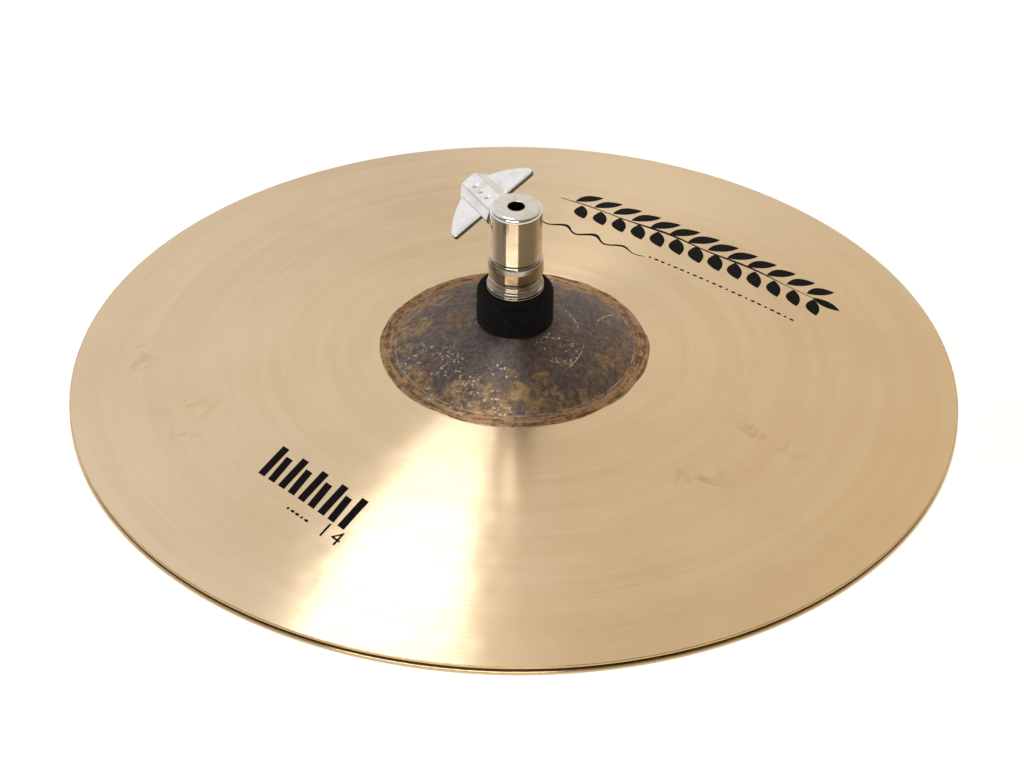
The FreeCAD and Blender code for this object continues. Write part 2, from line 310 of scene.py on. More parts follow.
class Graph:
    """A node tree, with one method for each kind of node that the finishes and the room use."""

    def __init__(self, name: str, world: bool = False) -> None:
        """Starts an empty tree.

        Args:
            name: Name of the material or world that it belongs to.
            world: Whether it belongs to a world.
        """
        self.owner = (bpy.data.worlds if world else bpy.data.materials).new(name)
        self.owner.use_nodes = True
        self.tree = self.owner.node_tree
        self.tree.nodes.clear()
        self.place = self.add("ShaderNodeTexCoord").outputs["Generated" if world else "Object"]

    def add(self, kind: str, **settings: object) -> bpy.types.Node:
        """Adds a node.

        Args:
            kind: Blender's name for it.
            settings: Its own properties.

        Returns:
            The node.
        """
        node = self.tree.nodes.new(kind)
        for name, value in settings.items():
            setattr(node, name, value)
        return node

    def put(self, socket: Socket, value: object) -> None:
        """Links an input to a socket, or sets it to a number, colour or vector.

        Args:
            socket: The input.
            value: What it takes.
        """
        if isinstance(value, bpy.types.NodeSocket):
            self.tree.links.new(value, socket)
        elif isinstance(value, tuple) and len(value) == 3 and socket.type == "RGBA":
            socket.default_value = (*value, 1.0)
        else:
            socket.default_value = value

    def calculate(self, kind: str, first: object, second: object = 0.0, third: object = 0.0) -> Socket:
        """Works out one step of arithmetic.

        Args:
            kind: The operation, such as MULTIPLY.
            first: Its first input.
            second: Its second input.
            third: Its third input.

        Returns:
            The result.
        """
        node = self.add("ShaderNodeMath", operation=kind)
        for socket, value in zip(node.inputs, (first, second, third)):
            self.put(socket, value)
        return node.outputs[0]

    def times(self, first: object, second: object) -> Socket:
        """Multiplies two values."""
        return self.calculate("MULTIPLY", first, second)

    def plus(self, first: object, second: object) -> Socket:
        """Adds two values."""
        return self.calculate("ADD", first, second)

    def highest(self, *values: Socket) -> Socket:
        """Finds the highest of several values.

        Args:
            values: The values.

        Returns:
            The highest.
        """
        result = values[0]
        for value in values[1:]:
            result = self.calculate("MAXIMUM", result, value)
        return result

    def between(self, value: object, low: float, high: float, out: tuple[float, float] = (0, 1),
                smooth: bool = True) -> Socket:
        """Maps a value's span onto another.

        Args:
            value: The value.
            low: Where the span starts.
            high: Where it ends; it may be below low.
            out: What the two ends become.
            smooth: Whether it eases in and out.

        Returns:
            The mapped value.
        """
        node = self.add("ShaderNodeMapRange", interpolation_type="SMOOTHSTEP" if smooth else "LINEAR")
        if low > high:
            low, high, out = high, low, out[::-1]
        names = ("Value", "From Min", "From Max", "To Min", "To Max")
        for name, given in zip(names, (value, low, high, *out)):
            self.put(node.inputs[name], given)
        return node.outputs[0]

    def mix(self, share: object, first: object, second: object) -> Socket:
        """Blends two colours.

        Args:
            share: How much of the second.
            first: The first colour.
            second: The second colour.

        Returns:
            The blend.
        """
        node = self.add("ShaderNodeMix", data_type="RGBA")
        colours = [socket for socket in node.inputs if socket.type == "RGBA"]
        self.put(node.inputs[0], share)
        self.put(colours[0], first)
        self.put(colours[1], second)
        return next(socket for socket in node.outputs if socket.type == "RGBA")

    def ramp(self, value: Socket, *stops: tuple[float, Colour]) -> Socket:
        """Turns a value into a colour.

        Args:
            value: The value.
            stops: Places along it, each with a colour.

        Returns:
            The colour.
        """
        node = self.add("ShaderNodeValToRGB")
        elements = node.color_ramp.elements
        while len(elements) < len(stops):
            elements.new(0.5)
        for element, (place, colour) in zip(elements, stops):
            element.position = place
            element.color = (*colour, 1.0)
        self.put(node.inputs[0], value)
        return node.outputs["Color"]

    def noise(self, scale: float, detail: float = 3.0, rough: float = 0.55, at: Optional[Socket] = None,
              twist: float = 0.0) -> Socket:
        """Cloudy variation.

        Args:
            scale: Lumps per metre, or per unit of the given place.
            detail: How many finer layers.
            rough: How strong the finer layers are.
            at: Where to sample it, if not at the plain place.
            twist: How far it is distorted.

        Returns:
            A value around one half.
        """
        node = self.add("ShaderNodeTexNoise")
        self.put(node.inputs["Vector"], at or self.place)
        settings = {"Scale": scale, "Detail": detail, "Roughness": rough, "Distortion": twist}
        for name, value in settings.items():
            self.put(node.inputs[name], value)
        return node.outputs[0]

    def cells(self, scale: float, feature: str = "F1", at: Optional[Socket] = None) -> Socket:
        """Distance to the nearest of scattered points.

        Args:
            scale: Points per metre.
            feature: Which distance.
            at: Where to sample it, if not at the plain place.

        Returns:
            The distance.
        """
        node = self.add("ShaderNodeTexVoronoi", feature=feature)
        self.put(node.inputs["Vector"], at or self.place)
        self.put(node.inputs["Scale"], scale)
        return node.outputs["Distance"]

    def vector(self, x: object, y: object, z: object) -> Socket:
        """Puts three values together.

        Args:
            x: The first.
            y: The second.
            z: The third.

        Returns:
            The vector.
        """
        node = self.add("ShaderNodeCombineXYZ")
        for socket, value in zip(node.inputs, (x, y, z)):
            self.put(socket, value)
        return node.outputs[0]

    def away(self, x: float, y: float, flat: Socket) -> Socket:
        """Distance in plan from an upright line.

        Args:
            x: The line's X, in millimetres.
            y: The line's Y, in millimetres.
            flat: The place with its height left out.

        Returns:
            The distance, in metres.
        """
        node = self.add("ShaderNodeVectorMath", operation="DISTANCE")
        self.put(node.inputs[0], flat)
        node.inputs[1].default_value = (x * MM, y * MM, 0)
        return node.outputs["Value"]

    def rings(self) -> tuple[Socket, Socket, Lines]:
        """What the finishes of turned pieces are made from.

        Returns:
            The place with its height left out, the radius in millimetres, and a maker of noise that runs
            round the axis, given its lines per millimetre and how much it changes round the turn.
        """
        parts = self.add("ShaderNodeSeparateXYZ")
        self.put(parts.inputs[0], self.place)
        flat = self.vector(parts.outputs[0], parts.outputs[1], 0.0)
        length = self.add("ShaderNodeVectorMath", operation="LENGTH")
        self.put(length.inputs[0], flat)
        radius = self.times(length.outputs["Value"], 1 / MM)
        heading = self.add("ShaderNodeVectorMath", operation="NORMALIZE")
        self.put(heading.inputs[0], flat)

        def lines(per_mm: float, change: float) -> Socket:
            """Noise that runs round the axis.

            Args:
                per_mm: Lines per millimetre.
                change: How much it changes round the turn.

            Returns:
                A value around one half.
            """
            turned = self.add("ShaderNodeVectorMath", operation="SCALE")
            self.put(turned.inputs[0], heading.outputs[0])
            self.put(turned.inputs["Scale"], change)
            ends = self.add("ShaderNodeSeparateXYZ")
            self.put(ends.inputs[0], turned.outputs[0])
            across = self.times(radius, per_mm)
            along = self.times(parts.outputs[2], per_mm * 1000)
            place = self.vector(ends.outputs[0], ends.outputs[1], self.plus(across, along))
            return self.noise(1.0, 2.0, 0.6, place)

        return flat, radius, lines

    def bump(self, height: Socket, depth: float, strength: float = 1.0,
             under: Optional[Socket] = None) -> Socket:
        """Fine relief.

        Args:
            height: The relief, about 0 to 1.
            depth: Its depth, in millimetres.
            strength: How much of it shows.
            under: Relief that this lies on.

        Returns:
            The changed normal.
        """
        node = self.add("ShaderNodeBump")
        self.put(node.inputs["Height"], height)
        node.inputs["Distance"].default_value = depth * MM
        node.inputs["Strength"].default_value = strength
        if under:
            self.put(node.inputs["Normal"], under)
        return node.outputs[0]

    def close(self, **inputs: object) -> bpy.types.Material:
        """Adds the shader and ends the tree.

        Args:
            inputs: The shader's inputs, with _ for a space in their names.

        Returns:
            The material.
        """
        shader = self.add("ShaderNodeBsdfPrincipled")
        for name, value in inputs.items():
            self.put(shader.inputs[name.replace("_", " ")], value)
        output = self.add("ShaderNodeOutputMaterial")
        self.tree.links.new(shader.outputs[0], output.inputs[0])
        return self.owner


@dataclass(frozen=True)
class BronzeFinish:
    """Bell bronze: a fine-lathed, polished bow round a raw, fire-darkened bell."""

    name: str = "lathed_bronze"
    bow: Colour = (0.80, 0.625, 0.42)
    bow_deep: Colour = (0.70, 0.50, 0.30)
    tarnish: Colour = (0.56, 0.36, 0.17)
    # Rim colour: raw bronze, made darker as painted reflection of a dim surround.
    edge: Colour = (0.60, 0.40, 0.18)
    edge_from: tuple[float, float] = (177.3, 177.5)
    bell: Colour = (0.122, 0.090, 0.076)
    bell_violet: Colour = (0.168, 0.140, 0.138)
    bell_brown: Colour = (0.22, 0.13, 0.068)
    gold: Colour = (0.46, 0.295, 0.145)
    gold_at: tuple[float, float] = (-28, -32)
    band: tuple[tuple[float, Colour], ...] = (
        (0.41, (0.14, 0.084, 0.054)), (0.475, (0.28, 0.155, 0.078)),
        (0.53, (0.46, 0.28, 0.13)), (0.59, (0.40, 0.27, 0.18)))
    # Pale bronze: bare metal in the scribed ring and scratches, and painted glints among the specks.
    bare_metal_and_glint: Colour = (0.74, 0.62, 0.47)
    # Clusters of specks, partly painted glints, mostly on the front-left.
    speck_and_glint_clusters: tuple[tuple[float, float, float, float], ...] = (
        (-24, -33, 20, 6), (-34, -18, 16, 4), (17, -17, 12, 3), (-8, -38, 16, 4))
    smudges: tuple[tuple[float, float, float], ...] = (
        (97, -52, 24), (72, -78, 16), (-128, -38, 22), (-150, 10, 14))
    scratches: tuple[tuple[float, float, float, float, float], ...] = (
        (5.0, -6.0, 20.5, 22.0, 4.0), (3.0, -9.0, 24.5, 24.0, -20.0), (80.0, -10.0, 50.0, 36.0, 14.0))

    def bell_mask(self, graph: Graph, radius: Socket, wander: Socket) -> Socket:
        """Where the raw bell is, ending on a crisp and slightly uneven line."""
        line = graph.plus(radius, graph.between(wander, 0.3, 0.7, (-0.35, 0.35)))
        return graph.between(line, BELL_EDGE_R + 0.12, BELL_EDGE_R - 0.12)

    def oxide(self, graph: Graph, flat: Socket, radius: Socket, lines: Lines) -> Socket:
        """Grey-violet oxide with brown blooms, golden patches and the golden-brown band at the foot.

        Args:
            graph: The tree.
            flat: The place with its height left out.
            radius: The radius in millimetres.
            lines: Maker of noise that runs round the axis.

        Returns:
            The colour.
        """
        bloom = graph.noise(60, 5, 0.62, twist=0.6)
        fine = graph.noise(520, 5, 0.7)
        base = graph.mix(graph.between(fine, 0.38, 0.66), self.bell, self.bell_violet)
        brown = graph.times(graph.between(bloom, 0.52, 0.66), graph.between(fine, 0.3, 0.62))
        base = graph.mix(brown, base, self.bell_brown)
        foot = graph.between(graph.plus(radius, graph.between(bloom, 0.35, 0.65, (-9.0, 9.0))), 30.0, 46.0)
        patch = graph.times(graph.between(graph.noise(130, 6, 0.78, twist=0.4), 0.40, 0.60),
                            graph.between(fine, 0.36, 0.60, (0.35, 1.0)))
        warmer = graph.between(graph.away(*self.gold_at, flat), 0.080, 0.035, (0.45, 0.95))
        base = graph.mix(graph.times(graph.times(foot, patch), warmer), base, self.gold)
        outside = graph.between(graph.plus(radius, graph.between(fine, 0.3, 0.7, (-0.5, 0.5))), SCRIBE_R,
                                SCRIBE_R + 1.4)
        streaks = graph.plus(graph.times(lines(0.9, 4.0), 0.45), graph.times(graph.noise(240, 6, 0.75), 0.55))
        return graph.mix(outside, base, graph.ramp(streaks, *self.band))

    def sprinkle_specks_and_glints(self, graph: Graph, flat: Socket) -> Socket:
        """Where bright specks lie, mostly in clusters towards the front-left: partly bare-metal specks,
        partly painted glints.

        Args:
            graph: The tree.
            flat: The place with its height left out.

        Returns:
            How much of a speck shows.
        """
        crumbs = graph.highest(graph.between(graph.noise(820, 3, 0.6), 0.58, 0.64),
                               graph.between(graph.cells(420), 0.24, 0.14))
        lit = graph.between(graph.noise(110, 4, 0.65), 0.46, 0.56)
        clusters = graph.highest(*(graph.between(graph.away(x, y, flat), reach * MM, core * MM)
                                   for x, y, reach, core in self.speck_and_glint_clusters))
        return graph.times(graph.times(crumbs, lit), graph.between(clusters, 0, 0.6, (0.10, 0.9)))

    def bell_colour(self, graph: Graph, flat: Socket, radius: Socket, lines: Lines) -> Socket:
        """The whole bell: its oxide, specks that are partly painted glints, scribed ring and a few scratches.

        Args:
            graph: The tree.
            flat: The place with its height left out.
            radius: The radius in millimetres.
            lines: Maker of noise that runs round the axis.

        Returns:
            The colour.
        """
        base = self.oxide(graph, flat, radius, lines)
        # Bright specks, partly painted glints gathered on the front-left.
        base = graph.mix(graph.times(self.sprinkle_specks_and_glints(graph, flat), 0.85), base, self.bare_metal_and_glint)
        aside = graph.calculate("ABSOLUTE", graph.plus(radius, -SCRIBE_R))
        ring = graph.times(graph.between(aside, 0.34, 0.10),
                           graph.between(graph.noise(210, 4, 0.7), 0.40, 0.62, (0.05, 0.6)))
        base = graph.mix(ring, base, self.bare_metal_and_glint)
        for x, y, reach, arc_x, arc_y in self.scratches:
            aside = graph.calculate("ABSOLUTE", graph.plus(graph.away(x, y, flat), -reach * MM))
            line = graph.between(aside, 0.00030, 0.00008)
            stretch = graph.between(graph.away(arc_x, arc_y, flat), 0.011, 0.006)
            broken = graph.between(graph.noise(420, 2), 0.40, 0.56, (0.1, 0.9))
            base = graph.mix(graph.times(graph.times(line, stretch), broken), base, self.bare_metal_and_glint)
        return base

    def bow_colour(self, graph: Graph, flat: Socket, radius: Socket,
                   turned: tuple[Socket, Socket, Socket]) -> Socket:
        """The polished bow, with lathed tones, smudges of tarnish and a deeper edge whose colour is partly
        raw bronze and partly painted reflection.

        Args:
            graph: The tree.
            flat: The place with its height left out.
            radius: The radius in millimetres.
            turned: The lathe's sweep and grooves, and a cloud.

        Returns:
            The colour.
        """
        sweep, groove, cloud = turned
        bow = graph.mix(graph.between(sweep, 0.38, 0.66, (0.05, 0.32)), self.bow, self.bow_deep)
        bow = graph.mix(graph.between(groove, 0.42, 0.75, (0, 0.08)), bow, self.bow_deep)
        bow = graph.mix(graph.between(cloud, 0.40, 0.75, (0, 0.28)), bow, self.bow_deep)
        stain = graph.highest(*(graph.between(graph.away(x, y, flat), reach * MM, reach * 0.2 * MM)
                                for x, y, reach in self.smudges))
        mottle = graph.between(graph.noise(75, 4, 0.62, twist=0.8), 0.50, 0.70)
        bow = graph.mix(graph.times(graph.times(stain, mottle), 0.55), bow, self.tarnish)
        bow = graph.mix(graph.between(graph.noise(190, 3, 0.7), 0.66, 0.76, (0, 0.18)), bow, self.tarnish)
        wander = graph.between(graph.noise(300, 2), 0.3, 0.7, (-0.12, 0.12))
        # The rim takes its own colour, partly raw bronze and partly painted reflection.
        return graph.mix(graph.between(graph.plus(radius, wander), *self.edge_from), bow, self.edge)

    def make(self) -> bpy.types.Material:
        """Builds the material.

        Returns:
            The material.
        """
        graph = Graph(self.name)
        flat, radius, lines = graph.rings()
        hair, groove, sweep = lines(2.6, 1.2), lines(0.9, 0.9), lines(0.12, 0.7)
        cloud = graph.noise(16, 4, 0.6, twist=0.3)
        bell = self.bell_mask(graph, radius, graph.noise(70, 3))
        colour = graph.mix(bell, self.bow_colour(graph, flat, radius, (sweep, groove, cloud)),
                           self.bell_colour(graph, flat, radius, lines))
        skin = graph.noise(420, 5, 0.7)
        bow_rough = graph.plus(graph.between(groove, 0.3, 0.7, (0.215, 0.25)),
                               graph.between(cloud, 0.3, 0.7, (-0.015, 0.02)))
        bell_rough = graph.between(skin, 0.32, 0.68, (0.36, 0.58))
        rough = graph.plus(graph.times(bow_rough, graph.calculate("SUBTRACT", 1.0, bell)),
                           graph.times(bell_rough, bell))
        metal = graph.between(bell, 0, 1, (1.0, 0.86))
        turned = graph.bump(graph.plus(graph.times(hair, 0.5), groove), 0.0034, 0.6)
        grain = graph.plus(graph.times(skin, 0.7), graph.times(graph.noise(1500, 3), 0.3))
        crust = graph.bump(graph.times(grain, bell), 0.16, 0.8, turned)
        tangent = graph.add("ShaderNodeTangent", direction_type="RADIAL", axis="Z")
        return graph.close(Base_Color=colour, Metallic=metal, Roughness=rough, Normal=crust, Anisotropic=0.98,
                           Anisotropic_Rotation=0.25, Tangent=tangent.outputs[0])


@dataclass(frozen=True)
class LowerBronze(BronzeFinish):
    """The bottom cymbal's bronze, its rim painted paler as painted reflection of the pale floor."""

    name: str = "lathed_bronze_lower"
    # Paler rim: painted reflection of the pale floor.
    edge: Colour = (0.66, 0.47, 0.25)


@dataclass(frozen=True)
class PolishedPlating:
    """Bright nickel-chrome plating over turned brass."""

    name: str = "polished_plating"
    plate: Colour = (0.80, 0.775, 0.745)
    warm: Colour = (0.70, 0.66, 0.60)

    def make(self) -> bpy.types.Material:
        """Builds the material.

        Returns:
            The material.
        """
        graph = Graph(self.name)
        _, _, lines = graph.rings()
        smear = graph.noise(130, 4, 0.6, twist=0.5)
        turned = lines(5.0, 1.5)
        nicks = graph.between(graph.cells(900), 0.10, 0.03)
        colour = graph.mix(graph.between(smear, 0.42, 0.70), self.plate, self.warm)
        colour = graph.mix(graph.times(nicks, 0.30), colour, (0.35, 0.33, 0.31))
        rough = graph.plus(graph.between(smear, 0.35, 0.7, (0.055, 0.13)), graph.times(nicks, 0.2))
        normal = graph.bump(turned, 0.0022, 0.7)
        normal = graph.bump(graph.noise(260, 2), 0.010, 0.5, normal)
        return graph.close(Base_Color=colour, Metallic=1.0, Roughness=rough, Normal=normal)


@dataclass(frozen=True)
class PlatingPaintedDark(PolishedPlating):
    """The same plating painted darker and browner, as painted dark reflection and shade on the nuts in the
    felt's recess.
    """

    name: str = "plating_painted_dark"
    # Painted shade: darker, browner plating colours that stand in for the nuts' dark reflections.
    plate: Colour = (0.44, 0.38, 0.31)
    warm: Colour = (0.27, 0.21, 0.16)


@dataclass(frozen=True)
class CastPlating:
    """Plating over a die casting, with the casting's faint orange peel, and painted dark reflection on the
    flanks that turn away from its flat faces.
    """

    name: str = "cast_plating"
    plate: Colour = (0.92, 0.905, 0.895)
    dull: Colour = (0.74, 0.72, 0.71)
    # Painted reflection: the near-black colour laid on the wing's flanks.
    flank_reflection_dark: Colour = (0.13, 0.11, 0.095)
    flat_face: tuple[float, float, float] = (0.0, 0.0, 1.0)

    def make(self) -> bpy.types.Material:
        """Builds the material.

        Returns:
            The material.
        """
        graph = Graph(self.name)
        peel = graph.noise(700, 3, 0.5)
        cloud = graph.noise(110, 4, 0.6)
        pits = graph.between(graph.cells(420), 0.13, 0.04)
        colour = graph.mix(graph.between(cloud, 0.4, 0.72), self.plate, self.dull)
        colour = graph.mix(graph.times(pits, 0.4), colour, (0.22, 0.21, 0.20))
        # Painted reflection: faces turned away from the wing's flat faces are darkened, for the dark
        # surroundings they would reflect.
        facing = graph.add("ShaderNodeVectorMath", operation="DOT_PRODUCT")
        graph.put(facing.inputs[0], graph.add("ShaderNodeTexCoord").outputs["Normal"])
        facing.inputs[1].default_value = self.flat_face
        level = graph.calculate("ABSOLUTE", facing.outputs["Value"])
        painted_flank_mask = graph.between(graph.plus(level, graph.between(cloud, 0.3, 0.7, (-0.1, 0.1))), 0.62, 0.30)
        colour = graph.mix(graph.times(painted_flank_mask, 0.85), colour, self.flank_reflection_dark)
        rough = graph.plus(graph.between(cloud, 0.35, 0.7, (0.26, 0.36)), graph.times(pits, 0.15))
        normal = graph.bump(peel, 0.030, 0.6)
        normal = graph.bump(graph.noise(2600, 3, 0.6), 0.008, 0.6, normal)
        return graph.close(Base_Color=colour, Metallic=1.0, Roughness=rough, Normal=normal)


@dataclass(frozen=True)
class ThreadedSteel:
    """Zinc-plated turned steel, a little oily in its grooves."""

    name: str = "threaded_steel"
    bright: Colour = (0.62, 0.61, 0.59)
    oily: Colour = (0.30, 0.28, 0.25)

    def make(self) -> bpy.types.Material:
        """Builds the material.

        Returns:
            The material.
        """
        graph = Graph(self.name)
        _, _, lines = graph.rings()
        film = graph.noise(240, 4, 0.65)
        turned = lines(8.0, 2.0)
        colour = graph.mix(graph.between(film, 0.45, 0.68), self.bright, self.oily)
        rough = graph.plus(graph.between(film, 0.3, 0.7, (0.24, 0.42)),
                           graph.between(turned, 0.4, 0.6, (0.0, 0.06)))
        normal = graph.bump(graph.plus(turned, graph.times(graph.noise(2200, 2), 0.4)), 0.006, 0.8)
        return graph.close(Base_Color=colour, Metallic=1.0, Roughness=rough, Normal=normal)


@dataclass(frozen=True)
class BlackFelt:
    """Dense pressed wool felt, dyed black."""

    name: str = "black_felt"
    wool: Colour = (0.0035, 0.0033, 0.0033)
    fibre: Colour = (0.020, 0.019, 0.019)

    def make(self) -> bpy.types.Material:
        """Builds the material.

        Returns:
            The material.
        """
        graph = Graph(self.name)
        warp = graph.add("ShaderNodeVectorMath", operation="ADD")
        stir = graph.add("ShaderNodeTexNoise")
        stir.inputs["Scale"].default_value = 500
        graph.put(stir.inputs["Vector"], graph.place)
        pull = graph.add("ShaderNodeVectorMath", operation="SCALE")
        graph.put(pull.inputs[0], stir.outputs["Color"])
        pull.inputs["Scale"].default_value = 0.0022
        graph.put(warp.inputs[0], graph.place)
        graph.put(warp.inputs[1], pull.outputs[0])
        strands = graph.between(graph.cells(1700, "DISTANCE_TO_EDGE", warp.outputs[0]), 0.14, 0.02)
        matted = graph.noise(330, 5, 0.7)
        fluff = graph.noise(3800, 3, 0.7)
        shown = graph.times(strands, graph.between(matted, 0.4, 0.65, (0.25, 1.0)))
        colour = graph.mix(shown, self.wool, self.fibre)
        under = graph.plus(graph.times(matted, 0.7), graph.times(fluff, 0.3))
        height = graph.plus(graph.times(strands, 0.5), under)
        return graph.close(Base_Color=colour, Roughness=graph.between(matted, 0.3, 0.7, (0.86, 0.98)),
                           Normal=graph.bump(height, 0.16, 0.9), Sheen_Weight=0.03, Sheen_Roughness=0.5,
                           Specular_IOR_Level=0.05)


@dataclass(frozen=True)
class WhiteNylon:
    """Natural nylon, slightly yellowed and scuffed."""

    name: str = "white_nylon"
    clean: Colour = (0.80, 0.78, 0.72)
    worn: Colour = (0.58, 0.54, 0.46)

    def make(self) -> bpy.types.Material:
        """Builds the material.

        Returns:
            The material.
        """
        graph = Graph(self.name)
        _, _, lines = graph.rings()
        grime = graph.noise(260, 4, 0.65)
        scuff = graph.between(lines(7.0, 4.0), 0.58, 0.7)
        colour = graph.mix(graph.between(grime, 0.45, 0.75), self.clean, self.worn)
        rough = graph.plus(graph.between(grime, 0.3, 0.7, (0.40, 0.55)), graph.times(scuff, 0.12))
        normal = graph.bump(graph.plus(scuff, graph.noise(1600, 3)), 0.008, 0.7)
        return graph.close(Base_Color=colour, Roughness=rough, Normal=normal, Subsurface_Weight=0.12,
                           Subsurface_Scale=0.0008)


@dataclass(frozen=True)
class BlackInk:
    """Screen-printed black ink, thin in places."""

    name: str = "black_ink"
    full: Colour = (0.004, 0.003, 0.003)
    thin: Colour = (0.022, 0.015, 0.010)

    def make(self) -> bpy.types.Material:
        """Builds the material.

        Returns:
            The material.
        """
        graph = Graph(self.name)
        _, _, lines = graph.rings()
        patchy = graph.noise(700, 4, 0.7)
        grain = lines(1.6, 3.0)
        worn = graph.times(graph.between(patchy, 0.5, 0.75), graph.between(grain, 0.4, 0.65))
        return graph.close(Base_Color=graph.mix(worn, self.full, self.thin),
                           Roughness=graph.between(patchy, 0.3, 0.7, (0.50, 0.66)),
                           Specular_IOR_Level=0.05, Normal=graph.bump(grain, 0.006, 0.6))


@dataclass(frozen=True)
class FloorPaper:
    """Plain white background paper."""

    name: str = "floor_paper"
    paper: Colour = (0.90, 0.90, 0.90)
    shade: Colour = (0.885, 0.885, 0.885)
    glow: float = 0.46

    def make(self) -> bpy.types.Material:
        """Builds the material.

        Returns:
            The material.
        """
        graph = Graph(self.name)
        tone = graph.between(graph.noise(2.0, 2), 0.3, 0.7)
        return graph.close(Base_Color=graph.mix(tone, self.paper, self.shade), Roughness=0.9,
                           Emission_Color=(1.0, 1.0, 1.0), Emission_Strength=self.glow)


# --- cymbals ----------------------------------------------------------------------------------------


@dataclass
class CymbalForm:
    """The section of a cymbal: bell, fillet and bow, with heights measured up from the rim's edge."""

    rim_wall: float
    hole_r: float = 6.25
    edge_r: float = 177.6
    edge_round: float = 0.28
    bow_in_r: float = 50.9
    bow_rise: float = 20.9
    bow_in_slope: float = math.radians(3.5)
    bell_r: float = 82.6
    fillet_r: float = 11.0
    bell_wall: float = 1.5

    def __post_init__(self) -> None:
        """Works out where the three arcs meet."""
        chord = math.atan2(self.bow_rise, self.edge_r - self.bow_in_r)
        self.rim_slope = 2 * chord - self.bow_in_slope
        self.bow_r = (self.edge_r - self.bow_in_r) / (math.sin(self.rim_slope) - math.sin(self.bow_in_slope))
        fillet_out = self.bow_in_r + self.fillet_r * math.sin(self.bow_in_slope)
        self.bell_edge_r = fillet_out / (1 + self.fillet_r / self.bell_r)
        slope = math.asin(self.bell_edge_r / self.bell_r)
        top = self.bow_rise + self.fillet_r * (math.cos(self.bow_in_slope) - math.cos(slope))
        self.bell_centre = top - self.bell_r * math.cos(slope)

    def slope(self, r: np.ndarray) -> np.ndarray:
        """The face's slope, falling outwards.

        Args:
            r: The radii.

        Returns:
            The slope at each, in radians.
        """
        bow = math.sin(self.bow_in_slope) + (r - self.bow_in_r) / self.bow_r
        fillet = math.sin(self.bow_in_slope) - (r - self.bow_in_r) / self.fillet_r
        inner = np.where(r >= self.bell_edge_r, fillet, r / self.bell_r)
        return np.arcsin(np.where(r >= self.bow_in_r, bow, inner))

    def up(self, r: np.ndarray) -> np.ndarray:
        """The face's height.

        Args:
            r: The radii.

        Returns:
            The height at each.
        """
        slope = self.slope(r)
        flat = math.cos(self.bow_in_slope)
        bow = self.bow_rise - self.bow_r * (flat - np.cos(slope))
        fillet = self.bow_rise + self.fillet_r * (flat - np.cos(slope))
        bell = self.bell_centre + np.sqrt(np.maximum(self.bell_r ** 2 - r ** 2, 0))
        return np.where(r >= self.bow_in_r, bow, np.where(r >= self.bell_edge_r, fillet, bell))

    def outline(self) -> Outline:
        """The whole section, closed, with rings where the relief needs them.

        Returns:
            Points from the hole along the convex face, round the rim and back along the concave face.
        """
        rings = [np.arange(6.9, 46.8, 0.55), np.arange(46.9, 48.4, 0.18), np.arange(48.7, 52.7, 0.45),
                 np.arange(52.9, 54.4, 0.16), np.arange(54.9, 176.4, 1.05), np.array([176.9, 177.2, 177.45])]
        face = np.concatenate(rings)
        slope = self.slope(face)
        thinned = np.clip((face - self.bow_in_r) / (self.edge_r - self.bow_in_r), 0, 1)
        wall = self.bell_wall + (self.rim_wall - self.bell_wall) * thinned
        under = np.stack([face - wall * np.sin(slope), self.up(face) - wall * np.cos(slope)], axis=1)[::-1]
        half = self.rim_wall / 2
        out = np.array([math.cos(self.rim_slope), -math.sin(self.rim_slope)])
        along = np.array([math.sin(self.rim_slope), math.cos(self.rim_slope)])
        mid = np.array([self.edge_r, float(self.up(np.array([self.edge_r]))[0])]) - along * half
        edge = [tuple(mid + along * half * math.cos(t) + out * self.edge_round * math.sin(t))
                for t in np.linspace(0, math.pi, 9)]
        top = float(self.up(np.array([self.hole_r]))[0])
        low = self.bell_centre + math.sqrt((self.bell_r - self.bell_wall) ** 2 - self.hole_r ** 2)
        eased = ((0.22, low - 0.01), (0.06, low + 0.06), (0.0, low + 0.25),
                 (0.0, top - 0.28), (0.08, top - 0.09), (0.26, top - 0.03))
        hole = [(self.hole_r + wider, height) for wider, height in eased]
        return hole + list(zip(face, self.up(face))) + edge + [tuple(point) for point in under]


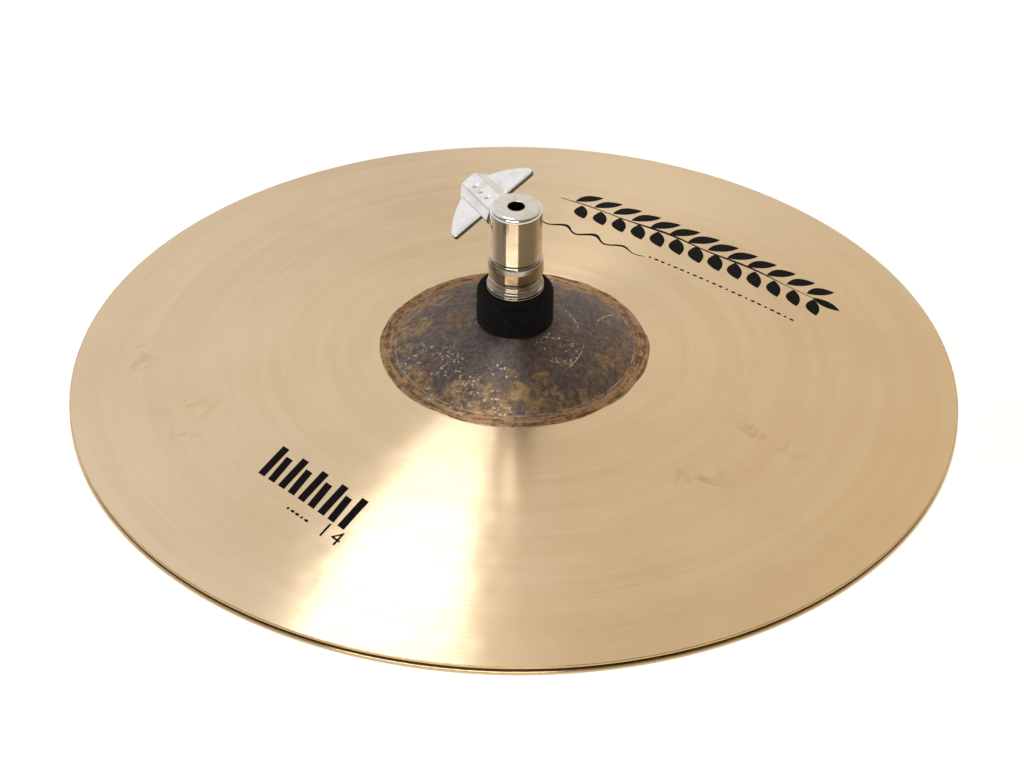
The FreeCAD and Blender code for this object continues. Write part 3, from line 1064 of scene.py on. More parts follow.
@dataclass
class Cymbal:
    """One cymbal of the pair: hammered in rows, lathed, with a raw hammered bell."""

    node: str
    facing: Facing
    form: CymbalForm
    seed: int
    spokes: int = 384
    rows: tuple[float, float, float] = (63.0, 172.0, 13.0)
    blow_pitch: float = 14.5
    blow_stray: float = 3.0
    blow_width: tuple[float, float] = (3.6, 6.2)
    blow_depth: tuple[float, float] = (0.012, 0.034)
    dents: int = 120
    dent_reach: float = 46.0
    dent_width: tuple[float, float] = (0.9, 2.4)
    dent_depth: tuple[float, float] = (0.02, 0.075)
    groove_depth: float = 0.07
    piece: Optional[bpy.types.Object] = field(default=None, init=False)

    def blows(self) -> list[tuple[float, float, float, float]]:
        """Where the hammer fell.

        Returns:
            Each blow's X, Y, width and depth.
        """
        chance = random.Random(self.seed)
        marks = []
        for row in np.arange(*self.rows):
            count = int(2 * math.pi * row / self.blow_pitch)
            start = chance.random()
            for step in range(count):
                turn = 2 * math.pi * (step + start + chance.uniform(-0.3, 0.3)) / count
                reach = row + chance.uniform(-self.blow_stray, self.blow_stray)
                marks.append((reach * math.cos(turn), reach * math.sin(turn),
                              chance.uniform(*self.blow_width), chance.uniform(*self.blow_depth)))
        for _ in range(self.dents):
            turn = chance.uniform(0, 2 * math.pi)
            reach = self.dent_reach * math.sqrt(chance.uniform(0.1, 1.0))
            marks.append((reach * math.cos(turn), reach * math.sin(turn),
                          chance.uniform(*self.dent_width), chance.uniform(*self.dent_depth)))
        return marks

    def sink(self, x: np.ndarray, y: np.ndarray) -> np.ndarray:
        """How far the hammered face lies below its smooth section.

        Args:
            x: Places' X, in millimetres.
            y: Places' Y.

        Returns:
            The depths, in millimetres.
        """
        r = np.hypot(x, y)
        foot = np.exp(-((r - BELL_EDGE_R) / 0.32) ** 2)
        scribe = np.exp(-((r - SCRIBE_R) / 0.26) ** 2)
        depth = self.groove_depth * (foot + 0.5 * scribe)
        for centre_x, centre_y, width, deep in self.blows():
            near = (np.abs(x - centre_x) < 3 * width) & (np.abs(y - centre_y) < 3 * width)
            away = ((x[near] - centre_x) ** 2 + (y[near] - centre_y) ** 2) / width ** 2
            depth[near] += deep * np.exp(-away)
        return depth

    def build(self) -> None:
        """Turns the section and hammers it."""
        low, high = span(self.node)
        top = float(self.form.up(np.array([self.form.hole_r]))[0])
        self.rim = high - top if self.facing is Facing.UP else low + top
        sign = self.facing.value

        def hammered(radii: np.ndarray, heights: np.ndarray,
                     angles: np.ndarray) -> tuple[np.ndarray, np.ndarray]:
            """Sinks the blows into the wall, and puts it at its height.

            Args:
                radii: The points' radii.
                heights: Their heights.
                angles: Their angles.

            Returns:
                The same radii, and the new heights.
            """
            sunk = self.sink(radii * np.cos(angles), radii * np.sin(angles))
            return radii, self.rim + sign * (heights - sunk)

        self.piece = lathe(self.node + "_hammered", self.form.outline(), self.spokes, hammered)
        if self.facing is Facing.DOWN:
            self.piece.data.flip_normals()
            shade(self.piece)
        enter(self.piece, self.node, Slot.BRONZE, self.node)

    def dress(self, bronze: bpy.types.Material) -> None:
        """Gives the cymbal its finish."""
        self.piece.data.materials.append(bronze)


# --- printed marks ----------------------------------------------------------------------------------


def almond(x: float, y: float, length: float, width: float, lean: float, bend: float = 0.0,
           steps: int = 14) -> Loop:
    """A leaf with two points.

    Args:
        x: Its middle, along the baseline.
        y: Its middle, above the baseline.
        length: From point to point.
        width: At its widest.
        lean: Degrees that it stands turned from the baseline.
        bend: How far its middle bows aside.
        steps: Chords in each side.

    Returns:
        Its outline.
    """
    cos, sin = math.cos(math.radians(lean)), math.sin(math.radians(lean))
    loop = []
    for side, order in ((1, range(steps)), (-1, range(steps, 0, -1))):
        for step in order:
            t = step / steps
            along = (t - 0.5) * length
            across = side * width / 2 * math.sin(math.pi * t) ** 0.85 + bend * math.sin(math.pi * t)
            loop.append((x + along * cos - across * sin, y + along * sin + across * cos))
    return loop


def slab(x: float, y: float, width: float, height: float, slant: float) -> Loop:
    """A leaning bar with level ends.

    Args:
        x: Its lower left corner, along the baseline.
        y: Its foot, above the baseline.
        width: Its width along the baseline.
        height: Its height.
        slant: How far its top leans over.

    Returns:
        Its outline.
    """
    return [(x, y), (x + width, y), (x + width + slant, y + height), (x + slant, y + height)]


def ribbon(start: float, end: float, base: float, swing: float, waves: float, thick: float,
           steps: int = 160) -> Loop:
    """A flowing line, thick where it falls and thin where it climbs.

    Args:
        start: Where it starts, along the baseline.
        end: Where it ends.
        base: Its mean height.
        swing: How far it swings up and down.
        waves: How many swings.
        thick: Its greatest thickness.
        steps: Chords along it.

    Returns:
        Its outline.
    """
    upper, lower = [], []
    for step in range(steps + 1):
        t = step / steps
        phase, taper = 2 * math.pi * waves * t, math.sin(math.pi * t)
        height = base + swing * math.sin(phase) * (0.35 + 0.65 * taper)
        half = thick / 2 * (0.5 + 0.5 * (0.5 - 0.5 * math.cos(phase + 2.2))) * (0.25 + 0.75 * taper)
        upper.append((start + (end - start) * t, height + half))
        lower.append((start + (end - start) * t, height - half))
    return upper + lower[::-1]


@dataclass
class PrintedMarks:
    """Plain ink ornaments and the size numeral on the top cymbal's bow."""

    cymbal: Cymbal
    above: float = 0.03
    below: float = 0.03
    longest: float = 2.6
    frieze_on: Baseline = ((11.3, 112.8), (118.3, 41.8))
    wave_on: Baseline = ((4.3, 102.3), (111.3, 31.3))
    beads_on: Baseline = ((55.0, 70.0), (162.0, -1.0))
    bars_on: Baseline = ((-99.0, -74.0), (-61.0, -113.0))
    dots_on: Baseline = ((-86.5, -95.4), (-48.5, -134.4))
    size_on: Baseline = ((-75.4, -109.6), (-37.4, -148.6))
    size_height: float = 7.0
    pieces: list[bpy.types.Object] = field(default_factory=list, init=False)

    def lay(self, name: str, loops: Sequence[Loop], baseline: Baseline) -> None:
        """Prints a set of shapes along a baseline, as a thin closed skin on the bow.

        Args:
            name: Name of the piece.
            loops: The shapes, in millimetres along and above the baseline.
            baseline: Where the baseline starts in plan, and a point further along it.
        """
        (x, y), end = baseline
        along = Vector((end[0] - x, end[1] - y)).normalized()
        work = bmesh.new()
        for loop in loops:
            places = ((x + along.x * u - along.y * v, y + along.y * u + along.x * v, 0) for u, v in loop)
            work.faces.new([work.verts.new(place) for place in places])
        bmesh.ops.triangulate(work, faces=work.faces)
        self.settle(name, work)

    def settle(self, name: str, work: bmesh.types.BMesh) -> None:
        """Lays flat shapes on the bow and closes them underneath.

        Args:
            name: Name of the piece.
            work: The shapes in plan, in millimetres.
        """
        for _ in range(6):
            long = [edge for edge in work.edges if edge.calc_length() > self.longest]
            if not long:
                break
            bmesh.ops.subdivide_edges(work, edges=long, cuts=1, use_grid_fill=False)
            bmesh.ops.triangulate(work, faces=[face for face in work.faces if len(face.verts) > 3])
        bmesh.ops.recalc_face_normals(work, faces=work.faces)
        if sum(face.normal.z for face in work.faces) < 0:
            bmesh.ops.reverse_faces(work, faces=work.faces)
        top = list(work.verts)
        grown = bmesh.ops.extrude_face_region(work, geom=list(work.faces), use_keep_orig=True)["geom"]
        raised = {v for v in grown if isinstance(v, bmesh.types.BMVert)}
        everything = top + list(raised)
        x, y = (np.array([v.co[axis] for v in everything]) for axis in (0, 1))
        face = self.cymbal.rim + self.cymbal.form.up(np.hypot(x, y)) - self.cymbal.sink(x, y)
        for vert, px, py, height in zip(everything, x, y, face):
            lift = self.above if vert in raised else -self.below
            vert.co = Vector((px, py, height + lift)) * MM
        bmesh.ops.recalc_face_normals(work, faces=work.faces)
        mesh = bpy.data.meshes.new(name)
        work.to_mesh(mesh)
        work.free()
        piece = shade(new_piece(name, mesh), 30)
        self.pieces.append(enter(piece, "top_cymbal", Slot.INK))

    def frieze(self) -> list[Loop]:
        """A straight branch with bold leaves.

        Returns:
            The shapes' outlines.
        """
        loops = [ribbon(2, 128, 10.2, 0.7, 3.0, 1.7)]
        for step in range(13):
            x = 8.5 + step * 9.4
            swell = 1.0 - 0.022 * abs(step - 6)
            loops.append(almond(x + 3.9, 16.2, 14.4 * swell, 6.5 * swell, 54, 0.9))
            loops.append(almond(x + 8.4, 4.2, 14.4 * swell, 6.5 * swell, -54, -0.9))
        loops.append(almond(131.5, 10.2, 13.0, 4.8, 0))
        return loops

    def beads(self, length: float, pitch: float) -> list[Loop]:
        """A dotted line under the frieze.

        Args:
            length: Its length.
            pitch: From dot to dot.

        Returns:
            The dots' outlines.
        """
        return [almond(step * pitch, 0.0, 2.3 if step % 3 else 1.3, 1.25, 0)
                for step in range(int(length / pitch))]

    def numeral(self) -> None:
        """Prints the pair's size, a plain 14."""
        start, end = self.size_on
        text = bpy.data.curves.new("size_figures", "FONT")
        text.body = "14"
        text.size = self.size_height / 0.7
        text.shear = -0.2
        text.space_character = 1.3
        flat = bpy.data.objects.new("size_figures", text)
        bpy.context.scene.collection.objects.link(flat)
        mesh = bpy.data.meshes.new_from_object(flat.evaluated_get(bpy.context.evaluated_depsgraph_get()))
        bpy.data.objects.remove(flat)
        turn = math.atan2(end[1] - start[1], end[0] - start[0])
        mesh.transform(Matrix.Translation((*start, 0)) @ Matrix.Rotation(turn, 4, "Z"))
        work = bmesh.new()
        work.from_mesh(mesh)
        bmesh.ops.remove_doubles(work, verts=work.verts, dist=1e-4)
        self.settle("size_numeral", work)

    def build(self) -> None:
        """Prints every mark."""
        self.lay("frieze", self.frieze(), self.frieze_on)
        self.lay("frieze_line", [ribbon(0, 58, 0, 2.1, 4.0, 2.2)], self.wave_on)
        self.lay("frieze_beads", self.beads(74, 3.1), self.beads_on)
        bars = [slab(step * 5.7, 0, 3.6, 16.5 - (step % 2) * 3.4, -3.6) for step in range(9)]
        self.lay("bar_row", bars, self.bars_on)
        self.lay("bar_dots", self.beads(15, 2.6), self.dots_on)
        self.numeral()

    def dress(self, ink: bpy.types.Material) -> None:
        """Gives the marks their ink."""
        for piece in self.pieces:
            piece.data.materials.append(ink)


# --- clutch -----------------------------------------------------------------------------------------


@dataclass
class WingScrew:
    """The cast wing, its threaded stud and the slug that it pushes."""

    azimuth: float = 121.0
    tilt: float = 28.8
    axis_height: float = 119.333
    stud: tuple[float, float] = (7.3, 27.0)
    stud_r: float = 3.0
    pitch: float = 1.0
    thread_depth: float = 0.5
    thread_to: float = 12.0
    voxel: float = 0.17
    lozenge: tuple[float, float] = (1.5, 1.8)
    lozenges_from: float = 19.0
    lozenge_pitch: float = 4.6
    lozenge_levels: tuple[tuple[float, float], ...] = ((3.6, 1.0), (4.45, 0.9), (4.6, 0.62))
    pieces: dict[str, bpy.types.Object] = field(default_factory=dict, init=False)

    def matrix(self) -> Matrix:
        """Finds the way from the screw's own axis, taken as +Z, to its place.

        Returns:
            The matrix, in metres.
        """
        turn = [Matrix.Rotation(math.radians(angle), 4, axis)
                for angle, axis in ((self.azimuth, "Z"), (90, "Y"), (90 - self.tilt, "Z"))]
        return Matrix.Translation((0, 0, self.axis_height * MM)) @ turn[0] @ turn[1] @ turn[2]

    def build(self) -> None:
        """Casts the wing and cuts the stud's thread."""
        low, high = self.stud
        outline = rounded([(0, low, 0), (self.stud_r - 0.5, low, 0.15), (self.stud_r, low + 0.5, 0.1),
                           (self.stud_r, high, 0), (0, high, 0)])
        wall = max(index for index, (r, z) in enumerate(outline) if r > self.stud_r - 0.01 and z < low + 1)
        steps = np.arange(low + 0.7, self.thread_to + 0.6, 0.08)
        rows = [(self.stud_r, z) for z in steps if z > outline[wall][1]]
        outline = outline[:wall + 1] + rows + outline[wall + 1:]
        thread = helix(self.stud_r, self.thread_depth, self.pitch, low + 0.5, self.thread_to + 0.4)
        stud = lathe("wing_stud_thread", outline, 72, thread)
        stud.data.transform(self.matrix())
        self.pieces["stud"] = enter(stud, "wing_screw", Slot.STEEL, "wing_stud")
        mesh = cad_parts["wing_handle"].data.copy()
        mesh.materials.clear()
        weld(mesh, 1e-6)
        wing = new_piece("wing_casting", mesh)
        self.add_relief(mesh)
        remesh = wing.modifiers.new("cast", "REMESH")
        remesh.mode = "VOXEL"
        remesh.voxel_size = self.voxel * MM
        smooth = wing.modifiers.new("flow", "SMOOTH")
        smooth.factor = 0.5
        smooth.iterations = 4
        apply_modifiers(wing)
        wing.data.shade_smooth()
        self.pieces["wing"] = enter(wing, "wing_screw", Slot.CASTING, "wing_handle")

    def add_relief(self, mesh: bpy.types.Mesh) -> None:
        """Raises three plain lozenges on each flat of the hub.

        Args:
            mesh: The wing's mesh, in place.
        """
        work = bmesh.new()
        work.from_mesh(mesh)
        place = self.matrix()
        wide, tall = self.lozenge
        for side in (1, -1):
            for step in range(3):
                out = self.lozenges_from + step * self.lozenge_pitch
                levels = []
                for height, grow in self.lozenge_levels:
                    ring = ((0, -tall), (wide, 0), (0, tall), (-wide, 0))
                    points = [Vector((x * grow, side * height, out + z * grow)) * MM for x, z in ring]
                    levels.append([work.verts.new(place @ point) for point in points])
                work.faces.new(levels[0])
                work.faces.new(levels[-1])
                for lower, upper in zip(levels, levels[1:]):
                    for index in range(4):
                        after = (index + 1) % 4
                        work.faces.new((lower[index], lower[after], upper[after], upper[index]))
        bmesh.ops.recalc_face_normals(work, faces=work.faces)
        work.to_mesh(mesh)
        work.free()

    def dress(self, casting: bpy.types.Material, steel: bpy.types.Material) -> None:
        """Gives the wing, stud and slug their finishes.

        Args:
            casting: The wing's plating.
            steel: Steel for the stud and slug.
        """
        self.pieces["wing"].data.materials.append(casting)
        self.pieces["stud"].data.materials.append(steel)
        dress_node("clamp_slug", steel)


@dataclass
class ClutchBody:
    """The solid head with its bore, and the threaded tube with its sleeve."""

    screw: WingScrew
    bore_r: float = 3.4
    head_r: float = 10.35
    tube_r: float = 5.0
    pitch: float = 1.0
    thread_depth: float = 0.55
    hole: tuple[tuple[float, float], ...] = (
        (0, 1.0), (2.3, 1.0), (2.3, 6.2), (3.08, 6.2), (3.08, 9.85), (3.5, 11.2), (0, 11.2))
    pieces: dict[str, bpy.types.Object] = field(default_factory=dict, init=False)

    def build(self) -> None:
        """Turns the head, drills it for the screw, and threads the tube."""
        low, high = span("clutch_head")
        tube_low, tube_high = span("clutch_tube")
        outline = rounded([(self.tube_r, low, 0), (self.head_r, low, 0.55), (self.head_r, high, 1.8),
                           (self.bore_r, high, 0.3), (self.bore_r, tube_high, 0),
                           (self.tube_r, tube_high, 0)], 8)
        head = lathe("clutch_head_turned", outline, 192)
        self.drill(head)
        self.pieces["head"] = enter(head, "clutch", Slot.PLATING, "clutch_head")
        corners = rounded([(self.bore_r, tube_low, 0.2), (self.tube_r - 0.45, tube_low, 0.15),
                           (self.tube_r, tube_low + 0.5, 0.1)], 3)
        wall = [(self.tube_r, z) for z in np.arange(corners[-1][1] + 0.1, low + 1.0, 0.1)]
        outline = corners + wall + [(self.tube_r, tube_high), (self.bore_r, tube_high)]
        thread = helix(self.tube_r, self.thread_depth, self.pitch, tube_low + 0.4, low)
        tube = lathe("clutch_tube_thread", outline, 96, thread)
        self.pieces["tube"] = enter(tube, "clutch", Slot.STEEL, "clutch_tube")

    def drill(self, head: bpy.types.Object) -> None:
        """Cuts the wing screw's hole into the head.

        Args:
            head: The turned head.
        """
        hole = lathe("drill", list(self.hole), 64)
        hole.data.transform(self.screw.matrix())
        cut = head.modifiers.new("drill", "BOOLEAN")
        cut.operation = "DIFFERENCE"
        cut.solver = "EXACT"
        cut.object = hole
        apply_modifiers(head)
        bpy.data.objects.remove(hole)
        shade(head, 30)

    def dress(self, plating: bpy.types.Material, steel: bpy.types.Material,
              nylon: bpy.types.Material) -> None:
        """Gives the head, tube and sleeve their finishes.

        Args:
            plating: The head's plating.
            steel: Steel for the tube.
            nylon: Nylon for the sleeve.
        """
        self.pieces["head"].data.materials.append(plating)
        self.pieces["tube"].data.materials.append(steel)
        dress_node("hole_sleeve", nylon)


@dataclass
class NutStack:
    """The lock nut, the adjusting nut and the washer on the felt."""

    bore_r: float = 5.08
    neck_r: float = 9.6
    lock_r: float = 11.1
    adjust_r: float = 11.4
    hub_r: float = 10.2
    washer_bore_r: float = 5.3
    washer_r: float = 11.4
    spokes: int = 160
    pieces: list[bpy.types.Object] = field(default_factory=list, init=False)

    def build(self) -> None:
        """Turns the three pieces."""
        low, high = span("lock_nut")
        lock = rounded([(self.bore_r, low, 0.2), (self.neck_r, low, 0.25), (self.lock_r, low + 2.0, 0.7),
                        (self.lock_r, low + 6.1, 0.7), (self.lock_r - 0.28, high - 1.2, 0.9),
                        (self.lock_r - 0.95, high, 0.7), (self.bore_r, high, 0.25)], 6)
        self.add("lock_nut", lock, "lock_nut")
        low, high = span("adjusting_nut")
        adjust = rounded([(self.bore_r, low, 0.2), (self.adjust_r, low, 0.3),
                          (self.adjust_r, low + 0.95, 0.45), (self.adjust_r - 0.4, low + 1.9, 0.8),
                          (self.hub_r, low + 2.7, 0.5), (self.hub_r, high - 0.6, 0.35),
                          (self.neck_r, high, 0.2), (self.bore_r, high, 0.2)], 6)
        self.add("adjusting_nut", adjust, "adjusting_nut")
        low, high = span("upper_washer")
        washer = rounded([(self.washer_bore_r, low, 0.12), (self.washer_r, low, 0.3),
                          (self.washer_r, high, 0.35), (self.washer_bore_r, high, 0.12)], 4)
        self.add("upper_washer", washer, "felt_washer")

    def add(self, node: str, outline: Outline, body: str) -> None:
        """Turns one piece and hands it over.

        Args:
            node: The frame node it stands for.
            outline: Its section.
            body: The body it rides on.
        """
        self.pieces.append(enter(lathe(node + "_turned", outline, self.spokes), body, Slot.PLATING, node))

    def dress(self, plating: bpy.types.Material) -> None:
        """Gives the pieces their plating."""
        for piece in self.pieces:
            piece.data.materials.append(plating)


@dataclass
class Felts:
    """The felt above the bell, and the felt and washer under it."""

    form: CymbalForm
    rim: float
    upper_bore_r: float = 5.9
    upper_r: float = 15.3
    lower_bore_r: float = 6.2
    lower_r: float = 13.5
    washer_bore_r: float = 5.3
    washer_r: float = 12.5
    gap: float = 0.3
    lumps: float = 0.16
    waves: int = 26
    spokes: int = 220
    travel: float = 3.06
    pieces: dict[str, bpy.types.Object] = field(default_factory=dict, init=False)

    def dome(self, r: float, offset: float) -> float:
        """Height of the sphere that lies offset above the bell's face."""
        return self.rim + self.form.bell_centre + math.sqrt((self.form.bell_r + offset) ** 2 - r ** 2)

    def pressed(self, seed: int) -> Relief:
        """The uneven skin of pressed wool, only ever below its true section.

        Args:
            seed: Which piece of felt.

        Returns:
            The relief.
        """
        chance = random.Random(seed)
        waves = [(chance.randint(2, 38), chance.uniform(0.3, 5.0), chance.uniform(0, 6.28))
                 for _ in range(self.waves)]

        def lump(radii: np.ndarray, heights: np.ndarray,
                 angles: np.ndarray) -> tuple[np.ndarray, np.ndarray]:
            """Pulls the skin in.

            Args:
                radii: The points' radii.
                heights: Their heights.
                angles: Their angles.

            Returns:
                The new radii and heights.
            """
            rough = sum(np.sin(turns * angles + rise * heights * 0.7 + shift) for turns, rise, shift in waves)
            rough = rough / self.waves ** 0.5
            pull = self.lumps * np.clip(0.5 + 0.35 * rough, 0, 1)
            low, high = heights.min(), heights.max()
            middle = (low + high) / 2
            inner, outer = radii.min(), radii.max()
            side = np.clip((radii - inner) / (outer - inner), 0, 1)
            return radii - pull * side ** 4, heights - np.sign(heights - middle) * pull * 0.6 * (side < 0.97)

        return lump

    def fine(self, corners: Sequence[tuple[float, float, float]], step: float = 0.45) -> Outline:
        """A rounded outline with its long runs divided.

        Args:
            corners: Points as (radius, height, rounding), in order.
            step: The longest run that stays whole.

        Returns:
            The outline.
        """
        coarse = rounded(corners, 7)
        outline: Outline = []
        for (r, z), (after_r, after_z) in zip(coarse, coarse[1:] + coarse[:1]):
            count = max(1, int(math.hypot(after_r - r, after_z - z) / step))
            outline += [(r + (after_r - r) * k / count, z + (after_z - z) * k / count) for k in range(count)]
        return outline

    def build(self) -> None:
        """Presses the felts to the bell's two faces, and turns the lower washer."""
        _, high = span("upper_felt")
        rs = np.linspace(self.upper_r, self.upper_bore_r, 5)
        under = [(float(r), self.dome(float(r), self.gap), 0.8 if index == 0 else 0.0)
                 for index, r in enumerate(rs)]
        outline = self.fine([*under, (self.upper_bore_r, high, 0.3), (self.upper_r, high, 2.2)])
        felt = lathe("upper_felt_pressed", outline, self.spokes, self.pressed(11))
        seat = self.dome(0, self.gap)
        self.pieces["upper"] = enter(felt, "clutch", Slot.FELT, "upper_felt")
        low, _ = span("lower_felt")
        rs = np.linspace(self.lower_bore_r, self.lower_r, 5)
        over = [(float(r), self.dome(float(r), -self.form.bell_wall - self.gap), 1.4 if index == 4 else 0.0)
                for index, r in enumerate(rs)]
        outline = self.fine([*over, (self.lower_r, low, 1.4), (self.lower_bore_r, low, 0.3)])
        felt = lathe("lower_felt_pressed", outline, self.spokes, self.pressed(23))
        self.pieces["lower"] = enter(felt, "lower_felt", Slot.FELT, "lower_felt")
        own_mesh(self.pieces["upper"])
        low, high = span("lower_washer")
        outline = rounded([(self.washer_bore_r, low, 0.12), (self.washer_r, low, 0.3),
                           (self.washer_r, high, 0.3), (self.washer_bore_r, high, 0.12)], 4)
        washer = lathe("lower_washer_turned", outline, 160)
        self.pieces["washer"] = enter(washer, "lower_felt", Slot.STEEL, "lower_washer")

    def dress(self, wool: bpy.types.Material, steel: bpy.types.Material) -> None:
        """Gives the felts and washer their finishes."""
        for name, material in (("upper", wool), ("lower", wool), ("washer", steel)):
            self.pieces[name].data.materials.append(material)


@dataclass
class BottomNut:
    """The flanged, knurled nut that holds the top cymbal on, with its locking ring."""

    bore_r: float = 5.08
    ring_r: float = 7.4
    ring_height: float = 2.4
    body_r: float = 10.5
    flange_r: float = 12.5
    flange: float = 2.6
    grooves: int = 30
    groove_r: float = 0.7
    piece: Optional[bpy.types.Object] = field(default=None, init=False)

    def build(self) -> None:
        """Turns the nut and cuts its grip."""
        low, high = span("bottom_nut")
        foot = high - self.flange
        outline = rounded([(self.ring_r, low, 0.15), (self.body_r, low, 0.6), (self.body_r, foot - 0.9, 0.2),
                           (self.body_r + 0.8, foot, 0.5), (self.flange_r, foot, 0.4),
                           (self.flange_r, high, 0.4), (self.bore_r, high, 0.3),
                           (self.bore_r, low + self.ring_height, 0),
                           (self.ring_r, low + self.ring_height, 0)], 5)
        wall = [index for index, (r, z) in enumerate(outline) if r > self.body_r - 0.01 and z < foot - 1]
        first, last = outline[wall[0]], outline[wall[-1]]
        rows = [(self.body_r, z) for z in np.arange(first[1] + 0.3, last[1] - 0.1, 0.3)]
        outline = outline[:wall[0] + 1] + rows + outline[wall[-1]:]

        def grip(radii: np.ndarray, heights: np.ndarray,
                 angles: np.ndarray) -> tuple[np.ndarray, np.ndarray]:
            """Cuts the upright grooves into the outer wall.

            Args:
                radii: The points' radii.
                heights: Their heights.
                angles: Their angles.

            Returns:
                The new radii, and the same heights.
            """
            pitch = 2 * math.pi / self.grooves
            off = (angles + pitch / 2) % pitch - pitch / 2
            aside = np.abs(radii * np.sin(off))
            floor = self.body_r + 0.25 - np.sqrt(np.maximum(self.groove_r ** 2 - aside ** 2, 0))
            runout = np.clip((foot - 1.2 - heights) / 0.5, 0, 1)
            inside = (aside < self.groove_r) & (radii > self.body_r - 0.65)
            deep = np.where(inside, np.maximum(radii - floor, 0), 0)
            return radii - deep * runout * (heights < foot), heights

        nut = lathe("bottom_nut_turned", outline, self.grooves * 14, grip)
        self.piece = enter(nut, "bottom_nut", Slot.PLATING, "bottom_nut")

    def dress(self, plating: bpy.types.Material, nylon: bpy.types.Material) -> None:
        """Gives the nut and its ring their finishes."""
        self.piece.data.materials.append(plating)
        dress_node("lock_ring", nylon)


# --- studio -----------------------------------------------------------------------------------------


@dataclass(frozen=True)
class Panel:
    """A soft light: a glowing rectangle turned to face the object."""

    name: str
    at: tuple[float, float, float]
    size: tuple[float, float]
    radiance: float
    facing: tuple[float, float, float] = (0, 0, 0.05)

    def hang(self) -> None:
        """Puts the light in the scene."""
        light = bpy.data.lights.new(self.name, "AREA")
        light.shape = "RECTANGLE"
        light.size, light.size_y = self.size
        light.energy = self.radiance * math.pi * self.size[0] * self.size[1]
        lamp = bpy.data.objects.new(self.name, light)
        aim = (Vector(self.facing) - Vector(self.at)).to_track_quat("-Z", "Y")
        lamp.matrix_world = Matrix.Translation(self.at) @ aim.to_matrix().to_4x4()
        lamp.visible_camera = False
        bpy.context.scene.collection.objects.link(lamp)


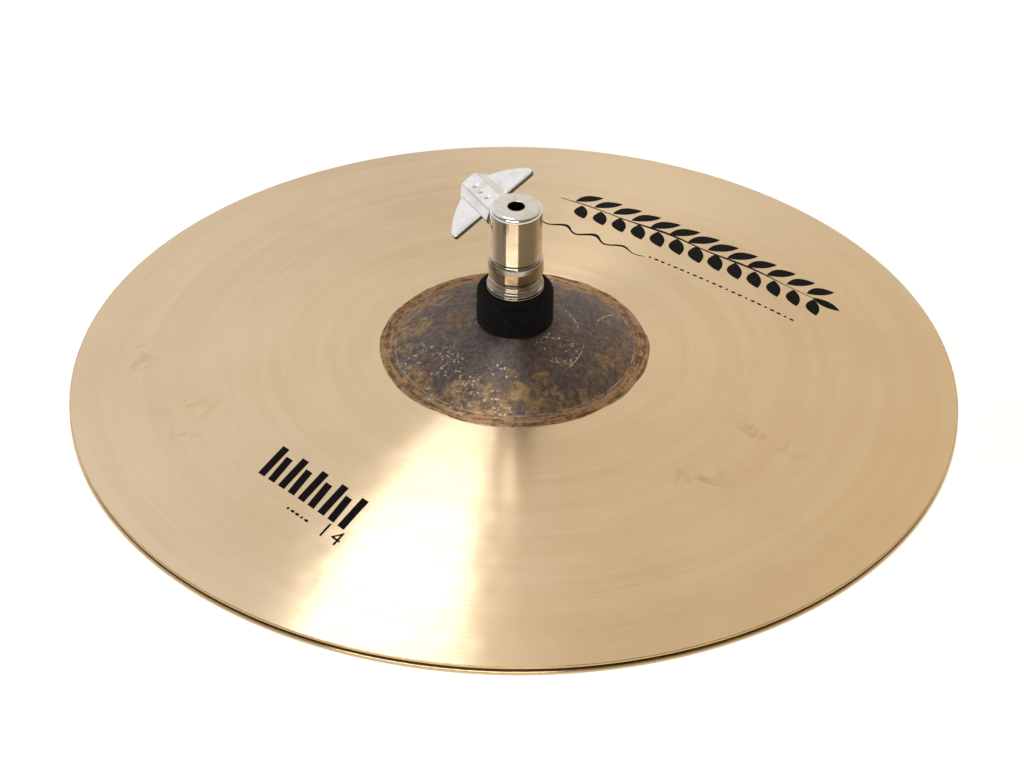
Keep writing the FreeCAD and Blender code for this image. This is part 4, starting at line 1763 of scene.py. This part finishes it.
@dataclass
class Studio:
    """A pale floor well below the pair, soft light, and the camera."""

    target_height: float = 40.133
    distance: float = 2.2
    elevation: float = math.radians(35.77)
    lens: float = 193.0
    raise_mm: float = 2.36
    left_mm: float = 0.82
    roll: float = math.radians(0.7)
    floor_z: float = -0.45
    floor_r: float = 14.0
    room: tuple[float, float] = (0.27, 0.86)
    room_span: tuple[float, float] = (0.25, 0.90)
    room_lean: float = 0.8
    side: tuple[float, float] = (1.06, 0.88)
    side_span: tuple[float, float] = (-0.9, 0.9)
    warm: Colour = (1.0, 0.885, 0.69)
    warm_span: tuple[float, float] = (-0.3, 0.40)
    fan_corners: tuple[tuple[float, float, float], ...] = (
        (-0.022, 2.34, 1.877), (-0.09, 2.34, 1.875), (-0.90, 0.75, 2.74), (-0.19, 0.75, 2.90))
    fan_glow: tuple[float, float] = (0.22, 4.4)
    fan_span: tuple[float, float] = (2.3, 1.2)
    panels: tuple[Panel, ...] = (
        Panel("front_bank", (-0.42, -1.44, 1.10), (1.50, 0.50), 6.5),
    )

    def camera(self) -> None:
        """Sets the camera at its angle."""
        cos, sin = math.cos(self.elevation), math.sin(self.elevation)
        target = Vector((0, 0, self.target_height * MM))
        back = Vector((0, -cos, sin))
        up = Vector((0, sin, cos))
        place = target + back * self.distance
        aim = target + up * self.raise_mm * MM - Vector((1, 0, 0)) * self.left_mm * MM
        turn = (aim - place).to_track_quat("-Z", "Y").to_matrix().to_4x4()
        data = bpy.data.cameras.new("camera")
        data.lens = self.lens
        data.sensor_width = 36.0
        data.clip_start, data.clip_end = 0.05, 60
        camera = bpy.data.objects.new("camera", data)
        camera.matrix_world = Matrix.Translation(place) @ turn @ Matrix.Rotation(self.roll, 4, "Z")
        bpy.context.scene.collection.objects.link(camera)
        bpy.context.scene.camera = camera

    def sky(self) -> None:
        """Fills the room with light: bright above and behind, dim in front, and warmer to the right."""
        graph = Graph("room", world=True)
        parts = graph.add("ShaderNodeSeparateXYZ")
        graph.put(parts.inputs[0], graph.place)
        x, y, z = parts.outputs
        lean = graph.calculate("MULTIPLY_ADD", z, self.room_lean, y)
        strength = graph.times(graph.between(lean, *self.room_span, self.room),
                               graph.between(x, *self.side_span, self.side))
        tint = graph.mix(graph.between(x, *self.warm_span, smooth=False), (1.0, 1.0, 1.0), self.warm)
        glow = graph.add("ShaderNodeBackground")
        graph.put(glow.inputs["Color"], tint)
        graph.put(glow.inputs["Strength"], strength)
        graph.tree.links.new(glow.outputs[0], graph.add("ShaderNodeOutputWorld").inputs[0])
        bpy.context.scene.world = graph.owner

    def fan(self) -> None:
        """Hangs the fan-shaped light whose reflection crosses the bow as a bright sector."""
        mesh = bpy.data.meshes.new("fan_light")
        mesh.from_pydata(self.fan_corners, [], [(0, 1, 2), (0, 2, 3)])
        graph = Graph("fan_light")
        glow = graph.add("ShaderNodeEmission")
        depth = graph.add("ShaderNodeSeparateXYZ")
        graph.put(depth.inputs[0], graph.place)
        graph.put(glow.inputs["Strength"], graph.between(depth.outputs[1], *self.fan_span, self.fan_glow))
        graph.tree.links.new(glow.outputs[0], graph.add("ShaderNodeOutputMaterial").inputs[0])
        mesh.materials.append(graph.owner)
        fan = new_piece("fan_light", mesh)
        fan.visible_camera = False
        fan.visible_shadow = False

    def floor(self) -> None:
        """Lays the floor."""
        work = bmesh.new()
        bmesh.ops.create_circle(work, cap_ends=True, segments=96, radius=self.floor_r)
        bmesh.ops.translate(work, verts=work.verts, vec=(0, 0, self.floor_z))
        mesh = bpy.data.meshes.new("floor")
        work.to_mesh(mesh)
        work.free()
        mesh.materials.append(FloorPaper().make())
        new_piece("floor", mesh)

    def build(self) -> None:
        """Sets up the room."""
        self.camera()
        self.sky()
        self.floor()
        self.fan()
        for panel in self.panels:
            panel.hang()
        bpy.context.scene.view_settings.view_transform = "Standard"


def main() -> None:
    """Builds and dresses the hi-hat, sub-assembly by sub-assembly."""
    logging.basicConfig(level=logging.INFO, format="%(message)s")
    Studio().build()
    bronze, plating, steel = BronzeFinish().make(), PolishedPlating().make(), ThreadedSteel().make()
    wool, nylon = BlackFelt().make(), WhiteNylon().make()
    top = Cymbal("top_cymbal", Facing.UP, CymbalForm(rim_wall=1.2), seed=7)
    bottom = Cymbal("bottom_cymbal", Facing.DOWN, CymbalForm(rim_wall=1.6), seed=29)
    for cymbal, finish in ((top, bronze), (bottom, LowerBronze().make())):
        cymbal.build()
        cymbal.dress(finish)
    marks = PrintedMarks(top)
    marks.build()
    marks.dress(BlackInk().make())
    screw = WingScrew()
    body = ClutchBody(screw)
    body.build()
    body.dress(plating, steel, nylon)
    screw.build()
    screw.dress(CastPlating(flat_face=tuple(screw.matrix().to_3x3() @ Vector((0, 1, 0)))).make(), steel)
    nuts = NutStack()
    nuts.build()
    # The nuts take the plating painted darker: painted dark reflection and shade.
    nuts.dress(PlatingPaintedDark().make())
    felts = Felts(top.form, top.rim)
    felts.build()
    felts.dress(wool, steel)
    bottom_nut = BottomNut()
    bottom_nut.build()
    bottom_nut.dress(plating, nylon)


if __name__ == "__main__":
    main()
